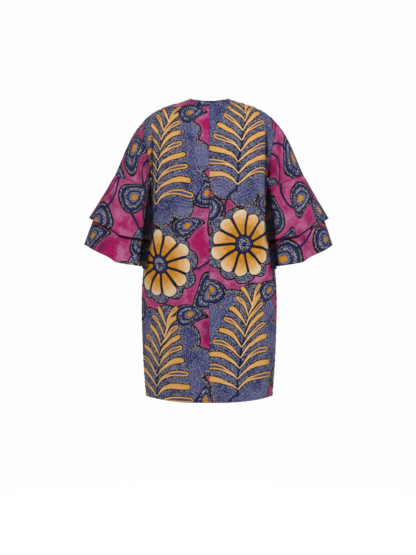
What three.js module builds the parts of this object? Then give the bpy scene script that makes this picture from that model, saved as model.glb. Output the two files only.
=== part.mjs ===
// Reversible kimono jacket: an open-fronted, collarless, knee-length coat of double printed cotton, worn.
// It keeps the hollow form that it has on a wearer: two backs joined by a centre-back seam, two fronts that
// hang open, two dropped sleeves that end above the elbow, and two flounces, one under the other, on each.
// Millimetres. +Z up, the fronts face -Y, the wearer's left is +X. The origin is midway between the two
// side-neck points, on the shoulder line, where the wearer's shoulders carry the jacket.
import * as THREE from "three";

// ---------------------------------------------------------------- sizes
const CLOTH = 2; // both cotton plies, bagged out into one wall
const SEAM = 0.3; // gap between neighbouring pieces
const UNDERARM_Z = -265; // foot of the armhole, top of the side seam
const HEM_Z = -1006; // hem at the side seams
const HEM_DIP = 12; // how much lower the hem hangs at centre back

const ROWS_BELOW = 14; // grid rows from hem to underarm
const ROWS_ABOVE = 16; // grid rows from underarm to shoulder, also half the sleeve's columns
const NECK_COLUMNS = 4; // grid columns of a back from centre back to side neck
const SHOULDER_COLUMNS = 9; // grid columns along a shoulder seam, in a back and in a front
const SLEEVE_ROWS = 6;
const FLOUNCE_ROWS = 6; // of the upper flounce, and of the lower one where the upper one covers it
const SHOWN_ROWS = 4; // of the lower flounce below the upper one's hem

// Torso rings, from hem to underarm: half width, depth behind and before the side seam, and squareness
// (the exponent of the superellipse: 2 is an ellipse).
const RINGS = [
  { z: -1020, half: 213, back: 146, front: 150, square: 2.5 },
  { z: -940, half: 220, back: 149, front: 153, square: 2.5 },
  { z: -850, half: 225, back: 152, front: 156, square: 2.5 },
  { z: -690, half: 229, back: 154, front: 158, square: 2.5 },
  { z: -580, half: 223, back: 150, front: 156, square: 2.55 },
  { z: -450, half: 202, back: 141, front: 152, square: 2.7 },
  { z: -350, half: 197, back: 135, front: 149, square: 2.9 },
  { z: -265, half: 197, back: 131, front: 144, square: 3.0 },
];

// How far each front edge stands from the centre line.
const FRONT_EDGE = [
  { z: -1020, x: 58 },
  { z: -640, x: 50 },
  { z: -265, x: 52 },
];

// The shoulder seam from side neck to the top of the dropped armhole.
const SIDE_NECK = new THREE.Vector3(68, 0, 0);
const SHOULDER_LINE = [
  { x: 68, z: 0 },
  { x: 112, z: -13 },
  { x: 153, z: -27 },
  { x: 192, z: -47 },
  { x: 216, z: -66 },
  { x: 231, z: -83 },
];
const NECK_DEPTH = 62; // from the side-neck points back to the neck seam
const NECK_DROP = 13; // centre-back neck below side neck

// Handles of the curves that carry the cloth from the underarm level over the shoulder.
const BLADE_RISE = 88; // up from the underarm level, over the shoulder blade or the chest
const BLADE_REACH = 112; // back from the shoulder seam, at centre back
const CHEST_REACH = 84; // forward from the shoulder seam, at the front edge
const ARMHOLE_REACH = 92; // back and forward from the shoulder seam, at the armhole
const ARMHOLE_RISE = 12; // up from the foot of the armhole
const ARMHOLE_TUCK = 12; // towards the body from the top of the armhole

// Sleeve seam ring, and the rings of the two flounces: distance down from that seam, centre, half width
// across the arm, half depth from front to back, and how far the inner side stands from the body's side.
// Every ring is tilted, its outer side higher.
const RING_TILT = THREE.MathUtils.degToRad(21);
const UPPER_FLOUNCE = [
  { down: 0, x: 262.5, z: -283, half: 63, deep: 74, rest: 3.5 },
  { down: 83, x: 288, z: -362, half: 81, deep: 86, rest: 5 },
  { down: 166, x: 314, z: -440.5, half: 99.5, deep: 98, rest: 5 },
];
const LOWER_FLOUNCE = [
  { down: 0, x: 262.5, z: -283, half: 60.4, deep: 71.4, rest: 6.4 },
  { down: 83, x: 286.5, z: -362, half: 76.3, deep: 81.5, rest: 10.3 },
  { down: 166, x: 308, z: -440.5, half: 89, deep: 90.5, rest: 10.8 },
  { down: 258, x: 327, z: -531, half: 101, deep: 98, rest: 5 },
];
const HEM_SAG = 17; // how far a flounce's hem hangs below its ring's plane behind and before the arm
const REST_GROWN = 130; // how far down a flounce all of its inner side has come to lie along the body

// Soft flutes of the body, along the cloth: panel, side (1 left, -1 right), place across the panel at the
// underarm and at the hem (0 centre, 1 side seam), where the flute begins, half width and depth at the hem.
const BODY_FLUTES = [
  { panel: "back", side: 1, above: 0.34, hem: 0.3, top: -420, width: 42, depth: 4 },
  { panel: "back", side: 1, above: 0.66, hem: 0.7, top: -520, width: 38, depth: -4.5 },
  { panel: "back", side: -1, above: 0.4, hem: 0.38, top: -480, width: 45, depth: 3.5 },
  { panel: "back", side: -1, above: 0.7, hem: 0.76, top: -430, width: 36, depth: -5 },
  { panel: "front", side: 1, above: 0.28, hem: 0.24, top: -300, width: 34, depth: -8 },
  { panel: "front", side: 1, above: 0.52, hem: 0.55, top: -340, width: 40, depth: 8 },
  { panel: "front", side: 1, above: 0.78, hem: 0.82, top: -460, width: 34, depth: -6 },
  { panel: "front", side: -1, above: 0.22, hem: 0.2, top: -320, width: 36, depth: 7 },
  { panel: "front", side: -1, above: 0.46, hem: 0.48, top: -300, width: 36, depth: -9 },
  { panel: "front", side: -1, above: 0.74, hem: 0.76, top: -420, width: 38, depth: 6 },
];

// Waves of both flounces: place round the arm (0 outside, 90 behind, 180 against the body, 270 in front),
// half width, and depth at the lower hem, for the left arm and for the right.
const FLOUNCE_WAVES = [
  { at: 0, width: 26, left: 4, right: -2 },
  { at: 28, width: 15, left: -4, right: -3 },
  { at: 60, width: 17, left: 4, right: 6 },
  { at: 92, width: 15, left: -4, right: -7 },
  { at: 124, width: 15, left: 5, right: 4 },
  { at: 154, width: 13, left: -9, right: -10 },
  { at: 196, width: 16, left: 5, right: 5 },
  { at: 232, width: 16, left: -7, right: -6 },
  { at: 268, width: 17, left: 6, right: 7 },
  { at: 304, width: 17, left: -7, right: -6 },
  { at: 336, width: 15, left: 5, right: 4 },
];

// ---------------------------------------------------------------- small helpers
const point = (x, y, z) => new THREE.Vector3(x, y, z);
const mix = (a, b, t) => a + (b - a) * t;
const fade = (from, to, x) => THREE.MathUtils.smoothstep((x - from) / (to - from), 0, 1);
const bell = (x) => Math.exp(-x * x);
const steps = (count) => Array.from({ length: count + 1 }, (_, i) => i / count);

// The value of a table's column at a place along its key, on a smooth curve through the rows.
function along(rows, key, column, place) {
  const rising = rows[1][key] > rows[0][key] ? 1 : -1;
  let i = 0;
  while (i < rows.length - 2 && (place - rows[i + 1][key]) * rising > 0) i++;
  const slope = (k) => {
    const a = rows[Math.max(k - 1, 0)];
    const b = rows[Math.min(k + 1, rows.length - 1)];
    return (b[column] - a[column]) / (b[key] - a[key]);
  };
  const span = rows[i + 1][key] - rows[i][key];
  const t = THREE.MathUtils.clamp((place - rows[i][key]) / span, 0, 1);
  const hermite = [
    2 * t ** 3 - 3 * t ** 2 + 1,
    t ** 3 - 2 * t ** 2 + t,
    3 * t ** 2 - 2 * t ** 3,
    t ** 3 - t ** 2,
  ];
  return (
    hermite[0] * rows[i][column] +
    hermite[1] * slope(i) * span +
    hermite[2] * rows[i + 1][column] +
    hermite[3] * slope(i + 1) * span
  );
}

// ---------------------------------------------------------------- torso
// Points of one quarter of the torso ring at height z, evenly spaced from x = start to the side seam.
function ringQuarter(panel, z, start, places) {
  const half = along(RINGS, "z", "half", z);
  const depth = along(RINGS, "z", panel, z);
  const power = 2 / along(RINGS, "z", "square", z);
  const first = Math.asin((start / half) ** (1 / power));
  const fine = steps(160).map((t) => {
    const a = mix(first, Math.PI / 2, t);
    return [half * Math.sin(a) ** power, depth * Math.max(Math.cos(a), 0) ** power];
  });
  const run = [0];
  for (let i = 1; i < fine.length; i++) {
    run.push(run[i - 1] + Math.hypot(fine[i][0] - fine[i - 1][0], fine[i][1] - fine[i - 1][1]));
  }
  const length = run.at(-1);
  return places.map((s) => {
    let i = 1;
    while (i < fine.length - 1 && run[i] < s * length) i++;
    const t = (s * length - run[i - 1]) / (run[i] - run[i - 1]);
    const x = mix(fine[i - 1][0], fine[i][0], t);
    const y = mix(fine[i - 1][1], fine[i][1], t);
    const tangent = [fine[i][0] - fine[i - 1][0], fine[i][1] - fine[i - 1][1]];
    const size = Math.hypot(...tangent);
    return { x, y, out: [-tangent[1] / size, tangent[0] / size], length };
  });
}

// How far the flutes push the cloth out, at place s across a panel and height z.
function fluteDepth(panel, side, s, z, length) {
  const share = fade(UNDERARM_Z, HEM_Z, z);
  return BODY_FLUTES.filter((f) => f.panel === panel && f.side === side).reduce((sum, f) => {
    const away = ((s - mix(f.above, f.hem, share)) * length) / f.width;
    return sum + f.depth * bell(away) * fade(f.top, HEM_Z, z);
  }, 0);
}

// One row of a panel below the underarm. share is 0 at the hem and 1 at the underarm.
function lowerRow(panel, side, share, places) {
  const level = mix(HEM_Z, UNDERARM_Z, share);
  const start = panel === "back" ? 0 : along(FRONT_EDGE, "z", "x", level);
  return ringQuarter(panel, level, start, places).map((p, k) => {
    const behind = panel === "back" ? 1 : -1;
    const out = fluteDepth(panel, side, places[k], level, p.length);
    const dip = panel === "back" ? HEM_DIP * (1 - fade(0.15, 0.85, places[k])) * (1 - share) ** 2 : 0;
    return point(p.x + p.out[0] * out, behind * (p.y + p.out[1] * out), level - dip);
  });
}

// A point of the shoulder seam, 0 at the side neck and 1 at the top of the armhole.
function shoulderPoint(share) {
  const x = mix(SHOULDER_LINE[0].x, SHOULDER_LINE.at(-1).x, share);
  return point(x, 0, along(SHOULDER_LINE, "x", "z", x));
}

// A point of the back neckline, 0 at centre back and 1 at the side neck.
function neckPoint(share) {
  const a = (share * Math.PI) / 2;
  return point(SIDE_NECK.x * Math.sin(a), NECK_DEPTH * Math.cos(a), -NECK_DROP * Math.cos(a) ** 2);
}

// One column of a panel from the underarm level to its top edge, as a Bezier curve: it goes on up from the
// rows below, rounds the shoulder blade or the chest, and comes over the shoulder. At the side seam it is
// the armhole's curve.
function upperColumn(panel, below, foot, top, s) {
  const behind = panel === "back" ? 1 : -1;
  const side = fade(0.72, 1, s);
  const up = foot.clone().sub(below);
  const rise = up.multiplyScalar(BLADE_RISE / up.z);
  rise.lerp(point(0, ARMHOLE_REACH * behind, ARMHOLE_RISE), side);
  const neck = panel === "back" ? 1 - fade(0, 0.31, s) : 0;
  const reach = mix(panel === "back" ? BLADE_REACH : CHEST_REACH, ARMHOLE_REACH, s);
  const fall = mix(mix(8, 15, neck), 22, side);
  const over = point(top.x - ARMHOLE_TUCK * side, reach * behind, top.z - fall);
  return new THREE.CubicBezierCurve3(foot, foot.clone().add(rise), over, top);
}

// The grid of a body panel: rows from hem to top, columns from the centre or front edge to the side.
function bodyGrid(panel, side) {
  const shoulder = steps(SHOULDER_COLUMNS);
  const neckShare = 0.31; // share of a back's width that ends at the neck
  const neck = panel === "back" ? steps(NECK_COLUMNS).slice(0, -1) : [];
  const places = [
    ...neck.map((t) => t * neckShare),
    ...shoulder.map((t) => (panel === "back" ? mix(neckShare, 1, t) : t)),
  ];
  const tops = [...neck.map(neckPoint), ...shoulder.map(shoulderPoint)];
  const below = steps(ROWS_BELOW).map((share) => lowerRow(panel, side, share, places));
  const [under, feet] = below.slice(-2);
  const columns = places.map((s, k) => upperColumn(panel, under[k], feet[k], tops[k], s));
  const above = steps(ROWS_ABOVE)
    .slice(1)
    .map((t) => columns.map((curve) => curve.getPoint(t)));
  return [...below, ...above];
}

// ---------------------------------------------------------------- sleeves
const OUTWARD = point(Math.cos(RING_TILT), 0, Math.sin(RING_TILT));
const DOWNWARD = point(Math.sin(RING_TILT), 0, -Math.cos(RING_TILT));

// How far the waves push a flounce out at angle a, at a distance down from the sleeve seam.
function waveDepth(a, down, side) {
  const length = LOWER_FLOUNCE.at(-1).down;
  const grown = (down / length) ** 1.4;
  return FLOUNCE_WAVES.reduce((sum, w) => {
    const turn = THREE.MathUtils.euclideanModulo((a * 180) / Math.PI - w.at + 180, 360) - 180;
    return sum + (side > 0 ? w.left : w.right) * bell(turn / w.width) * grown;
  }, 0);
}

// Where the body's side lies at height z and at y behind or before the side seam.
function bodySide(z, y) {
  const depth = along(RINGS, "z", y > 0 ? "back" : "front", z);
  const power = along(RINGS, "z", "square", z);
  return along(RINGS, "z", "half", z) * (1 - Math.min(Math.abs(y) / depth, 1) ** power) ** (1 / power);
}

// A point of a flounce, at angle a round the arm and a distance down from the sleeve seam. The arm presses
// its inner side against the body, so that side follows the body's own roundness: only its innermost part
// at the seam, and a wider part further down.
function flouncePoint(rows, a, down, side) {
  const across = Math.cos(a);
  const depth = Math.sin(a);
  const out = waveDepth(a, down, side);
  const sag = HEM_SAG * depth * depth * (down / rows.at(-1).down) ** 1.5;
  const free = point(along(rows, "down", "x", down), 0, along(rows, "down", "z", down))
    .addScaledVector(OUTWARD, (along(rows, "down", "half", down) + out) * across)
    .addScaledVector(DOWNWARD, sag)
    .add(point(0, (along(rows, "down", "deep", down) + out) * depth, 0));
  const grown = fade(0, REST_GROWN, down);
  const pressed = fade(mix(-0.5, -0.2, grown), mix(-0.85, -0.58, grown), across);
  free.x = mix(free.x, bodySide(free.z, free.y) + along(rows, "down", "rest", down), pressed);
  return free;
}

// The angle on the sleeve ring of each point of the armhole, by its share of the armhole's length.
function ringAngles(loop) {
  const closed = [...loop, loop[0]];
  const run = [0];
  for (let i = 1; i < closed.length; i++) run.push(run[i - 1] + closed[i].distanceTo(closed[i - 1]));
  const under = run[ROWS_ABOVE];
  const whole = run.at(-1);
  return loop.map((_, i) =>
    i <= ROWS_ABOVE
      ? (Math.PI * run[i]) / under
      : Math.PI + (Math.PI * (run[i] - under)) / (whole - under),
  );
}

// The armhole, round from the shoulder, behind the arm, under it and before it.
function armholeLoop(back, front) {
  const edge = (grid) => grid.slice(ROWS_BELOW).map((row) => row.at(-1));
  return [...edge(back).reverse(), ...edge(front).slice(1, -1)];
}

// The sleeve: from the armhole to the flounce seam, fuller behind and before the arm.
function sleeveGrid(loop, angles, side) {
  const fullness = 34;
  return steps(SLEEVE_ROWS).map((t) =>
    loop.map((start, k) => {
      const end = flouncePoint(UPPER_FLOUNCE, angles[k], 0, side);
      const top = (1 + Math.cos(angles[k])) / 2;
      const depth = Math.sin(angles[k]);
      const length = end.distanceTo(start);
      const leave = point(mix(1.1, 0.66, top), 0, mix(-0.35, -0.72, top)).multiplyScalar(length);
      leave.y += fullness * depth;
      const arrive = point(mix(0.2, 0.44, top), 0, mix(-0.98, -0.9, top)).multiplyScalar(length);
      arrive.y -= fullness * 0.3 * depth;
      const t2 = t * t;
      const t3 = t2 * t;
      return start
        .clone()
        .multiplyScalar(2 * t3 - 3 * t2 + 1)
        .addScaledVector(leave, t3 - 2 * t2 + t)
        .addScaledVector(end, 3 * t2 - 2 * t3)
        .addScaledVector(arrive, t3 - t2);
    }),
  );
}

// Both flounces have rows at the same distances down, so that the one lies evenly inside the other.
function flounceGrid(rows, angles, side) {
  const covered = UPPER_FLOUNCE.at(-1).down;
  const length = rows.at(-1).down;
  const shown = length > covered ? steps(SHOWN_ROWS).slice(1) : [];
  const downs = steps(FLOUNCE_ROWS).map((t) => t * covered);
  downs.push(...shown.map((t) => mix(covered, length, t)));
  return downs.map((down) => angles.map((a) => flouncePoint(rows, a, down, side)));
}

// ---------------------------------------------------------------- walls of cloth
// A piece is a grid of points on the middle of the cloth. turn is 1 where rows crossed with columns face
// out, seams names the edges that are sewn to a neighbour, and a tube's last column joins its first.
const mirrored = (grid) => grid.map((row) => row.map((p) => point(-p.x, p.y, p.z)));
const key = (p) => [p.x, p.y, p.z].map((v) => (Math.round(v * 100) / 100 + 0).toFixed(2)).join(" ");

function gridNormals({ grid, tube, turn }) {
  const rows = grid.length;
  const columns = grid[0].length;
  const normals = grid.map((row) => row.map(() => point(0, 0, 0)));
  for (let i = 0; i + 1 < rows; i++) {
    for (let j = 0; j < (tube ? columns : columns - 1); j++) {
      const k = (j + 1) % columns;
      const up = grid[i + 1][j].clone().sub(grid[i][j]);
      const over = grid[i][k].clone().sub(grid[i][j]);
      const up2 = grid[i + 1][k].clone().sub(grid[i][k]);
      const over2 = grid[i + 1][k].clone().sub(grid[i + 1][j]);
      const face = up.cross(over).add(up2.cross(over2)).normalize().multiplyScalar(turn);
      [normals[i][j], normals[i + 1][j], normals[i][k], normals[i + 1][k]].forEach((n) => n.add(face));
    }
  }
  return normals.map((row) => row.map((n) => n.normalize()));
}

// Pieces that share a seam share the direction and size of their thickness there, so their edges meet as a
// mitre and their rims are alike.
function shareSeams(pieces) {
  const meeting = new Map();
  pieces.forEach((piece) => {
    piece.own = gridNormals(piece);
    piece.grid.forEach((row, i) =>
      row.forEach((p, j) => meeting.set(key(p), [...(meeting.get(key(p)) ?? []), piece.own[i][j]])),
    );
  });
  const mitre = (normals) => {
    const shared = normals.reduce((sum, n) => sum.add(n), point(0, 0, 0)).normalize();
    const least = Math.min(...normals.map((n) => n.dot(shared)));
    return shared.multiplyScalar(1 / Math.max(least, 0.7));
  };
  const mitres = new Map([...meeting].map(([place, normals]) => [place, mitre(normals)]));
  pieces.forEach((piece) => {
    piece.normals = piece.grid.map((row) => row.map((p) => mitres.get(key(p))));
  });
}

// The points of a piece with its sewn edges drawn back, square to the seam, by half a seam gap.
function drawnBack({ grid, seams, tube }) {
  const rows = grid.length - 1;
  const columns = grid[0].length - 1;
  const held = (k, last) => THREE.MathUtils.clamp(k, 0, last);
  const column = (j) => (tube ? (j + columns + 1) % (columns + 1) : held(j, columns));
  const near = (i, j) => grid[held(i, rows)][column(j)];
  const pull = (p, inner, before, after) => {
    const seam = after.clone().sub(before).normalize();
    const inward = inner.clone().sub(p);
    return inward.addScaledVector(seam, -inward.dot(seam)).setLength(SEAM / 2);
  };
  return grid.map((row, i) =>
    row.map((p, j) => {
      const moved = p.clone();
      const alongRow = [near(i, j - 1), near(i, j + 1)];
      const alongColumn = [near(i - 1, j), near(i + 1, j)];
      if (seams.includes("first") && i === 0) moved.add(pull(p, grid[1][j], ...alongRow));
      if (seams.includes("last") && i === rows) moved.add(pull(p, grid[rows - 1][j], ...alongRow));
      if (seams.includes("centre") && j === 0) moved.add(pull(p, row[1], ...alongColumn));
      if (seams.includes("side") && j === columns) moved.add(pull(p, row[columns - 1], ...alongColumn));
      return moved;
    }),
  );
}

function wallGeometry(piece) {
  const { grid, tube, turn, normals } = piece;
  const middle = drawnBack(piece);
  const rows = middle.length;
  const columns = middle[0].length;
  const positions = [];
  const undrawn = [];
  [0.5, -0.5].forEach((half) =>
    middle.forEach((row, i) =>
      row.forEach((p, j) => {
        const offset = normals[i][j].clone().multiplyScalar(half * CLOTH);
        positions.push(...p.clone().add(offset));
        undrawn.push(grid[i][j].clone().add(offset));
      }),
    ),
  );
  const outer = (i, j) => i * columns + (j % columns);
  const inner = (i, j) => rows * columns + outer(i, j);
  const index = [];
  // A quad is split along the diagonal that is the shorter one before the edges are drawn back, so that two
  // walls that meet are split alike.
  const quad = (a, b, c, d) => {
    const split = undrawn[a].distanceTo(undrawn[c]) < undrawn[b].distanceTo(undrawn[d]);
    const [p, q, r, s] = split ? [a, b, c, d] : [b, c, d, a];
    index.push(...(turn > 0 ? [p, q, r, p, r, s] : [p, r, q, p, s, r]));
  };
  const lastColumn = tube ? columns : columns - 1;
  for (let i = 0; i + 1 < rows; i++) {
    for (let j = 0; j < lastColumn; j++) {
      quad(outer(i, j), outer(i + 1, j), outer(i + 1, j + 1), outer(i, j + 1));
      quad(inner(i, j), inner(i, j + 1), inner(i + 1, j + 1), inner(i + 1, j));
    }
    if (!tube) {
      quad(outer(i, 0), inner(i, 0), inner(i + 1, 0), outer(i + 1, 0));
      quad(outer(i, lastColumn), outer(i + 1, lastColumn), inner(i + 1, lastColumn), inner(i, lastColumn));
    }
  }
  for (let j = 0; j < lastColumn; j++) {
    quad(outer(0, j), outer(0, j + 1), inner(0, j + 1), inner(0, j));
    quad(outer(rows - 1, j), inner(rows - 1, j), inner(rows - 1, j + 1), outer(rows - 1, j + 1));
  }
  return new THREE.BufferGeometry()
    .setAttribute("position", new THREE.Float32BufferAttribute(positions, 3))
    .setIndex(index);
}

// ---------------------------------------------------------------- the jacket
const COLOURS = { back: 0x4a4f86, front: 0x4a4f86, sleeve: 0xb0256f, upper: 0xb0256f, lower: 0x565a86 };

function sidePieces(side) {
  const place = side > 0 ? "left" : "right";
  const back = bodyGrid("back", side);
  const front = bodyGrid("front", side);
  const loop = armholeLoop(back, front);
  const angles = ringAngles(loop);
  const piece = (name, colour, grid, turn, tube, seams) => ({
    name: `${name}_${place}`,
    colour,
    grid: side > 0 ? grid : mirrored(grid),
    turn: turn * side,
    tube,
    seams,
  });
  return [
    piece("back", COLOURS.back, back, 1, false, ["centre", "side", "last"]),
    piece("front", COLOURS.front, front, -1, false, ["side", "last"]),
    piece("sleeve", COLOURS.sleeve, sleeveGrid(loop, angles, side), 1, true, ["first", "last"]),
    piece("upper_flounce", COLOURS.upper, flounceGrid(UPPER_FLOUNCE, angles, side), 1, true, ["first"]),
    piece("lower_flounce", COLOURS.lower, flounceGrid(LOWER_FLOUNCE, angles, side), 1, true, []),
  ];
}

const jacket = new THREE.Group();
const pieces = [1, -1].flatMap(sidePieces);
shareSeams(pieces);
pieces.forEach((piece) => {
  const material = new THREE.MeshStandardMaterial({ color: piece.colour, roughness: 0.8, metalness: 0 });
  const mesh = new THREE.Mesh(wallGeometry(piece), material);
  mesh.name = piece.name;
  jacket.add(mesh);
});

export default jacket;
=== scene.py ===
# %% [markdown]
# # A reversible kimono jacket
# This lesson dresses the hollow solids of a worn jacket in cloth. The jacket is open at the front and has no
# collar. It is cut in ten pieces: two backs, two fronts, two short dropped sleeves, and two flounces on each
# sleeve. Every piece here is a thin shell that lies where its solid lies, so the seams still meet.
# Lengths are in metres, +Z is up, the fronts face -Y, and the wearer's left is +X.

# %% The frame
import math

import bpy
import numpy as np
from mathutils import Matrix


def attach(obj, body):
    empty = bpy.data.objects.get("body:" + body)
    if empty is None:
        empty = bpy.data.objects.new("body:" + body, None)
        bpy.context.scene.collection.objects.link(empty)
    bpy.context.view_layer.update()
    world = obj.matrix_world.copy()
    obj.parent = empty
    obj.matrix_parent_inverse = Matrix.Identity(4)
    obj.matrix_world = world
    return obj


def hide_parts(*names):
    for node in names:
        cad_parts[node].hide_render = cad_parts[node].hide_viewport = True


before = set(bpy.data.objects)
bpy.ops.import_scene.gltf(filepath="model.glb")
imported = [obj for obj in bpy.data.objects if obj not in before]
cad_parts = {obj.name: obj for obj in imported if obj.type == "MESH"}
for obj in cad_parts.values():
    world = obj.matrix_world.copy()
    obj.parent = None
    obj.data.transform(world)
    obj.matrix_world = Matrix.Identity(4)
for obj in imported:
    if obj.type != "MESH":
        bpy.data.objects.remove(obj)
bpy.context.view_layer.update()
print("solids:", ", ".join(sorted(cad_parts)))

# %% [markdown]
# ## Camera
# The jacket is looked at from straight behind, level, from about the height of the elbow. A long lens keeps
# the two sides of the garment from bending away. The sensor width counts along the picture's long side.

# %% Camera
CAMERA_DISTANCE = 4.2
CAMERA_HEIGHT = -0.606
CAMERA_SIDE = 0.0042
LENS_MM = 80
SENSOR_MM = 36

bpy.ops.object.select_all(action="DESELECT")
bpy.ops.object.camera_add(
    location=(CAMERA_SIDE, CAMERA_DISTANCE, CAMERA_HEIGHT),
    rotation=(math.radians(90), 0, math.radians(180)),
)
camera = bpy.context.object
camera.name = "camera"
camera.data.lens = LENS_MM
camera.data.sensor_width = SENSOR_MM
bpy.context.scene.camera = camera
print("camera at", tuple(round(v, 3) for v in camera.location))

# %% [markdown]
# ## The worn form, as tables
# A maker drafts a garment from a few measures, and so does this script. Rings give the torso's half width,
# its depth behind and before the side seams, and how square it is. The other tables give the shoulder line,
# the front edges and the rings of both flounces. There are few rows, and a smooth curve runs through them.

# %% Tables of the form
RINGS = {
    "z": [-1.020, -0.940, -0.850, -0.690, -0.580, -0.450, -0.350, -0.265],
    "half": [0.213, 0.220, 0.225, 0.229, 0.223, 0.202, 0.197, 0.197],
    "back": [0.146, 0.149, 0.152, 0.154, 0.150, 0.141, 0.135, 0.131],
    "front": [0.150, 0.153, 0.156, 0.158, 0.156, 0.152, 0.149, 0.144],
    "square": [2.5, 2.5, 2.5, 2.5, 2.55, 2.7, 2.9, 3.0],
}
FRONT_EDGE = {"z": [-1.020, -0.640, -0.265], "x": [0.058, 0.050, 0.052]}
SHOULDER_LINE = {
    "x": [0.068, 0.112, 0.153, 0.192, 0.216, 0.231],
    "z": [0, -0.013, -0.027, -0.047, -0.066, -0.083],
}
# A flounce's rings: the way down from the sleeve seam, the middle of the ring, its half width and half depth,
# and its clearance from the body. Its hem sags behind and before the arm, and more on the side of the body.
UPPER_FLOUNCE = {
    "down": [0, 0.083, 0.166],
    "x": [0.2625, 0.288, 0.314],
    "z": [-0.283, -0.362, -0.4405],
    "half": [0.063, 0.081, 0.0995],
    "deep": [0.074, 0.086, 0.098],
    "rest": [0.0035, 0.005, 0.005],
    "sag_round": 0.008,
    "sag_inside": 0.022,
}
LOWER_FLOUNCE = {
    "down": [0, 0.083, 0.166, 0.258],
    "x": [0.2625, 0.2865, 0.308, 0.327],
    "z": [-0.283, -0.362, -0.4405, -0.531],
    "half": [0.0604, 0.0763, 0.089, 0.101],
    "deep": [0.0714, 0.0815, 0.0905, 0.098],
    "rest": [0.0064, 0.0103, 0.0108, 0.005],
    "sag_round": 0.009,
    "sag_inside": 0.019,
}
LEFT, RIGHT = 1, -1
UNDERARM_Z = -0.265
HEM_Z = -1.006
HEM_DIP = 0.012
NECK_HALF = SHOULDER_LINE["x"][0]
NECK_DEPTH = 0.062
NECK_DROP = 0.013
print("the hem lies", round(UNDERARM_Z - HEM_Z, 3), "m below the underarm")

# %% [markdown]
# ### Curves through the tables
# Five small helpers do most of the shaping. A fade, a mix and a bell blend one thing into another. A glide is
# a curve that leaves and arrives in given ways, and a table's value between two rows lies on such a glide.

# %% Curves through the tables
def fade(start, end, x):
    """0 before start, 1 past end, and a smooth rise between them."""
    t = np.clip((np.asarray(x, float) - start) / (end - start), 0, 1)
    return t * t * (3 - 2 * t)


def mix(a, b, t):
    """From a at t = 0 to b at t = 1."""
    return a + (b - a) * t


def bell(x):
    """A soft bump, 1 in its middle."""
    return np.exp(-np.square(x))


def glide(start, leave, end, arrive, t):
    """A smooth curve from start to end, with the way in which it leaves and the way in which it arrives."""
    begun = (2 * t**3 - 3 * t**2 + 1) * start + (t**3 - 2 * t**2 + t) * leave
    return begun + (3 * t**2 - 2 * t**3) * end + (t**3 - t**2) * arrive


def along(table, key, column, place):
    """The value of a column at a place along the key, on a smooth curve through the rows."""
    x, y = np.array(table[key], float), np.array(table[column], float)
    rows = np.arange(len(x))
    before = np.maximum(rows - 1, 0)
    after = np.minimum(rows + 1, len(x) - 1)
    slope = (y[after] - y[before]) / (x[after] - x[before])
    i = np.clip(np.searchsorted(x, place) - 1, 0, len(x) - 2)
    span = x[i + 1] - x[i]
    share = np.clip((place - x[i]) / span, 0, 1)
    return glide(y[i], slope[i] * span, y[i + 1], slope[i + 1] * span, share)


print("torso is", 2 * along(RINGS, "z", "half", -0.69), "m wide at the hips")

# %% [markdown]
# ## Body panels
# A panel is a net of points: rows go from the hem up, and columns from the centre out to the side seam. Up to
# the underarm each row lies on a ring of the torso, with its points spread evenly along it. The worn cloth
# also has soft flutes that deepen towards the hem, as uneven as they fell.

# %% Rows below the underarm
ROWS_BELOW = 196
RING_STEPS = 400
# The hem dips at centre back, and the dip fades between these places across the panel.
DIP_FADES = (0.15, 0.85)
# Flutes: panel, side, place across at underarm and hem, top, half width, depth at the hem.
BODY_FLUTES = [
    ("back", LEFT, 0.34, 0.30, -0.420, 0.042, 0.0040),
    ("back", LEFT, 0.66, 0.70, -0.520, 0.038, -0.0045),
    ("back", RIGHT, 0.40, 0.38, -0.480, 0.045, 0.0035),
    ("back", RIGHT, 0.70, 0.76, -0.430, 0.036, -0.0050),
    ("front", LEFT, 0.28, 0.24, -0.300, 0.034, -0.0080),
    ("front", LEFT, 0.52, 0.55, -0.340, 0.040, 0.0080),
    ("front", LEFT, 0.78, 0.82, -0.460, 0.034, -0.0060),
    ("front", RIGHT, 0.22, 0.20, -0.320, 0.036, 0.0070),
    ("front", RIGHT, 0.46, 0.48, -0.300, 0.036, -0.0090),
    ("front", RIGHT, 0.74, 0.76, -0.420, 0.038, 0.0060),
]


def ring_quarter(panel, z, start, places):
    """Points of one quarter of the torso ring, evenly spaced, with the way out and the quarter's length."""
    half, depth = along(RINGS, "z", "half", z), along(RINGS, "z", panel, z)
    power = 2 / along(RINGS, "z", "square", z)
    angle = np.linspace(math.asin((start / half) ** (1 / power)), math.pi / 2, RING_STEPS)
    x = half * np.sin(angle) ** power
    y = depth * np.maximum(np.cos(angle), 0) ** power
    run = np.concatenate([[0], np.cumsum(np.hypot(np.diff(x), np.diff(y)))])
    at = np.asarray(places) * run[-1]
    out = np.stack([-np.gradient(y, run), np.gradient(x, run)])
    out = np.stack([np.interp(at, run, part) for part in out])
    return np.interp(at, run, x), np.interp(at, run, y), out / np.linalg.norm(out, axis=0), run[-1]


def flutes(panel, side, places, z, length):
    """How far the flutes push the cloth out across one row."""
    share = fade(UNDERARM_Z, HEM_Z, z)
    total = np.zeros(len(places))
    for of_panel, of_side, above, hem, top, width, depth in BODY_FLUTES:
        if (of_panel, of_side) == (panel, side):
            away = (places - mix(above, hem, share)) * length / width
            total += depth * bell(away) * fade(top, HEM_Z, z)
    return total


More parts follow.
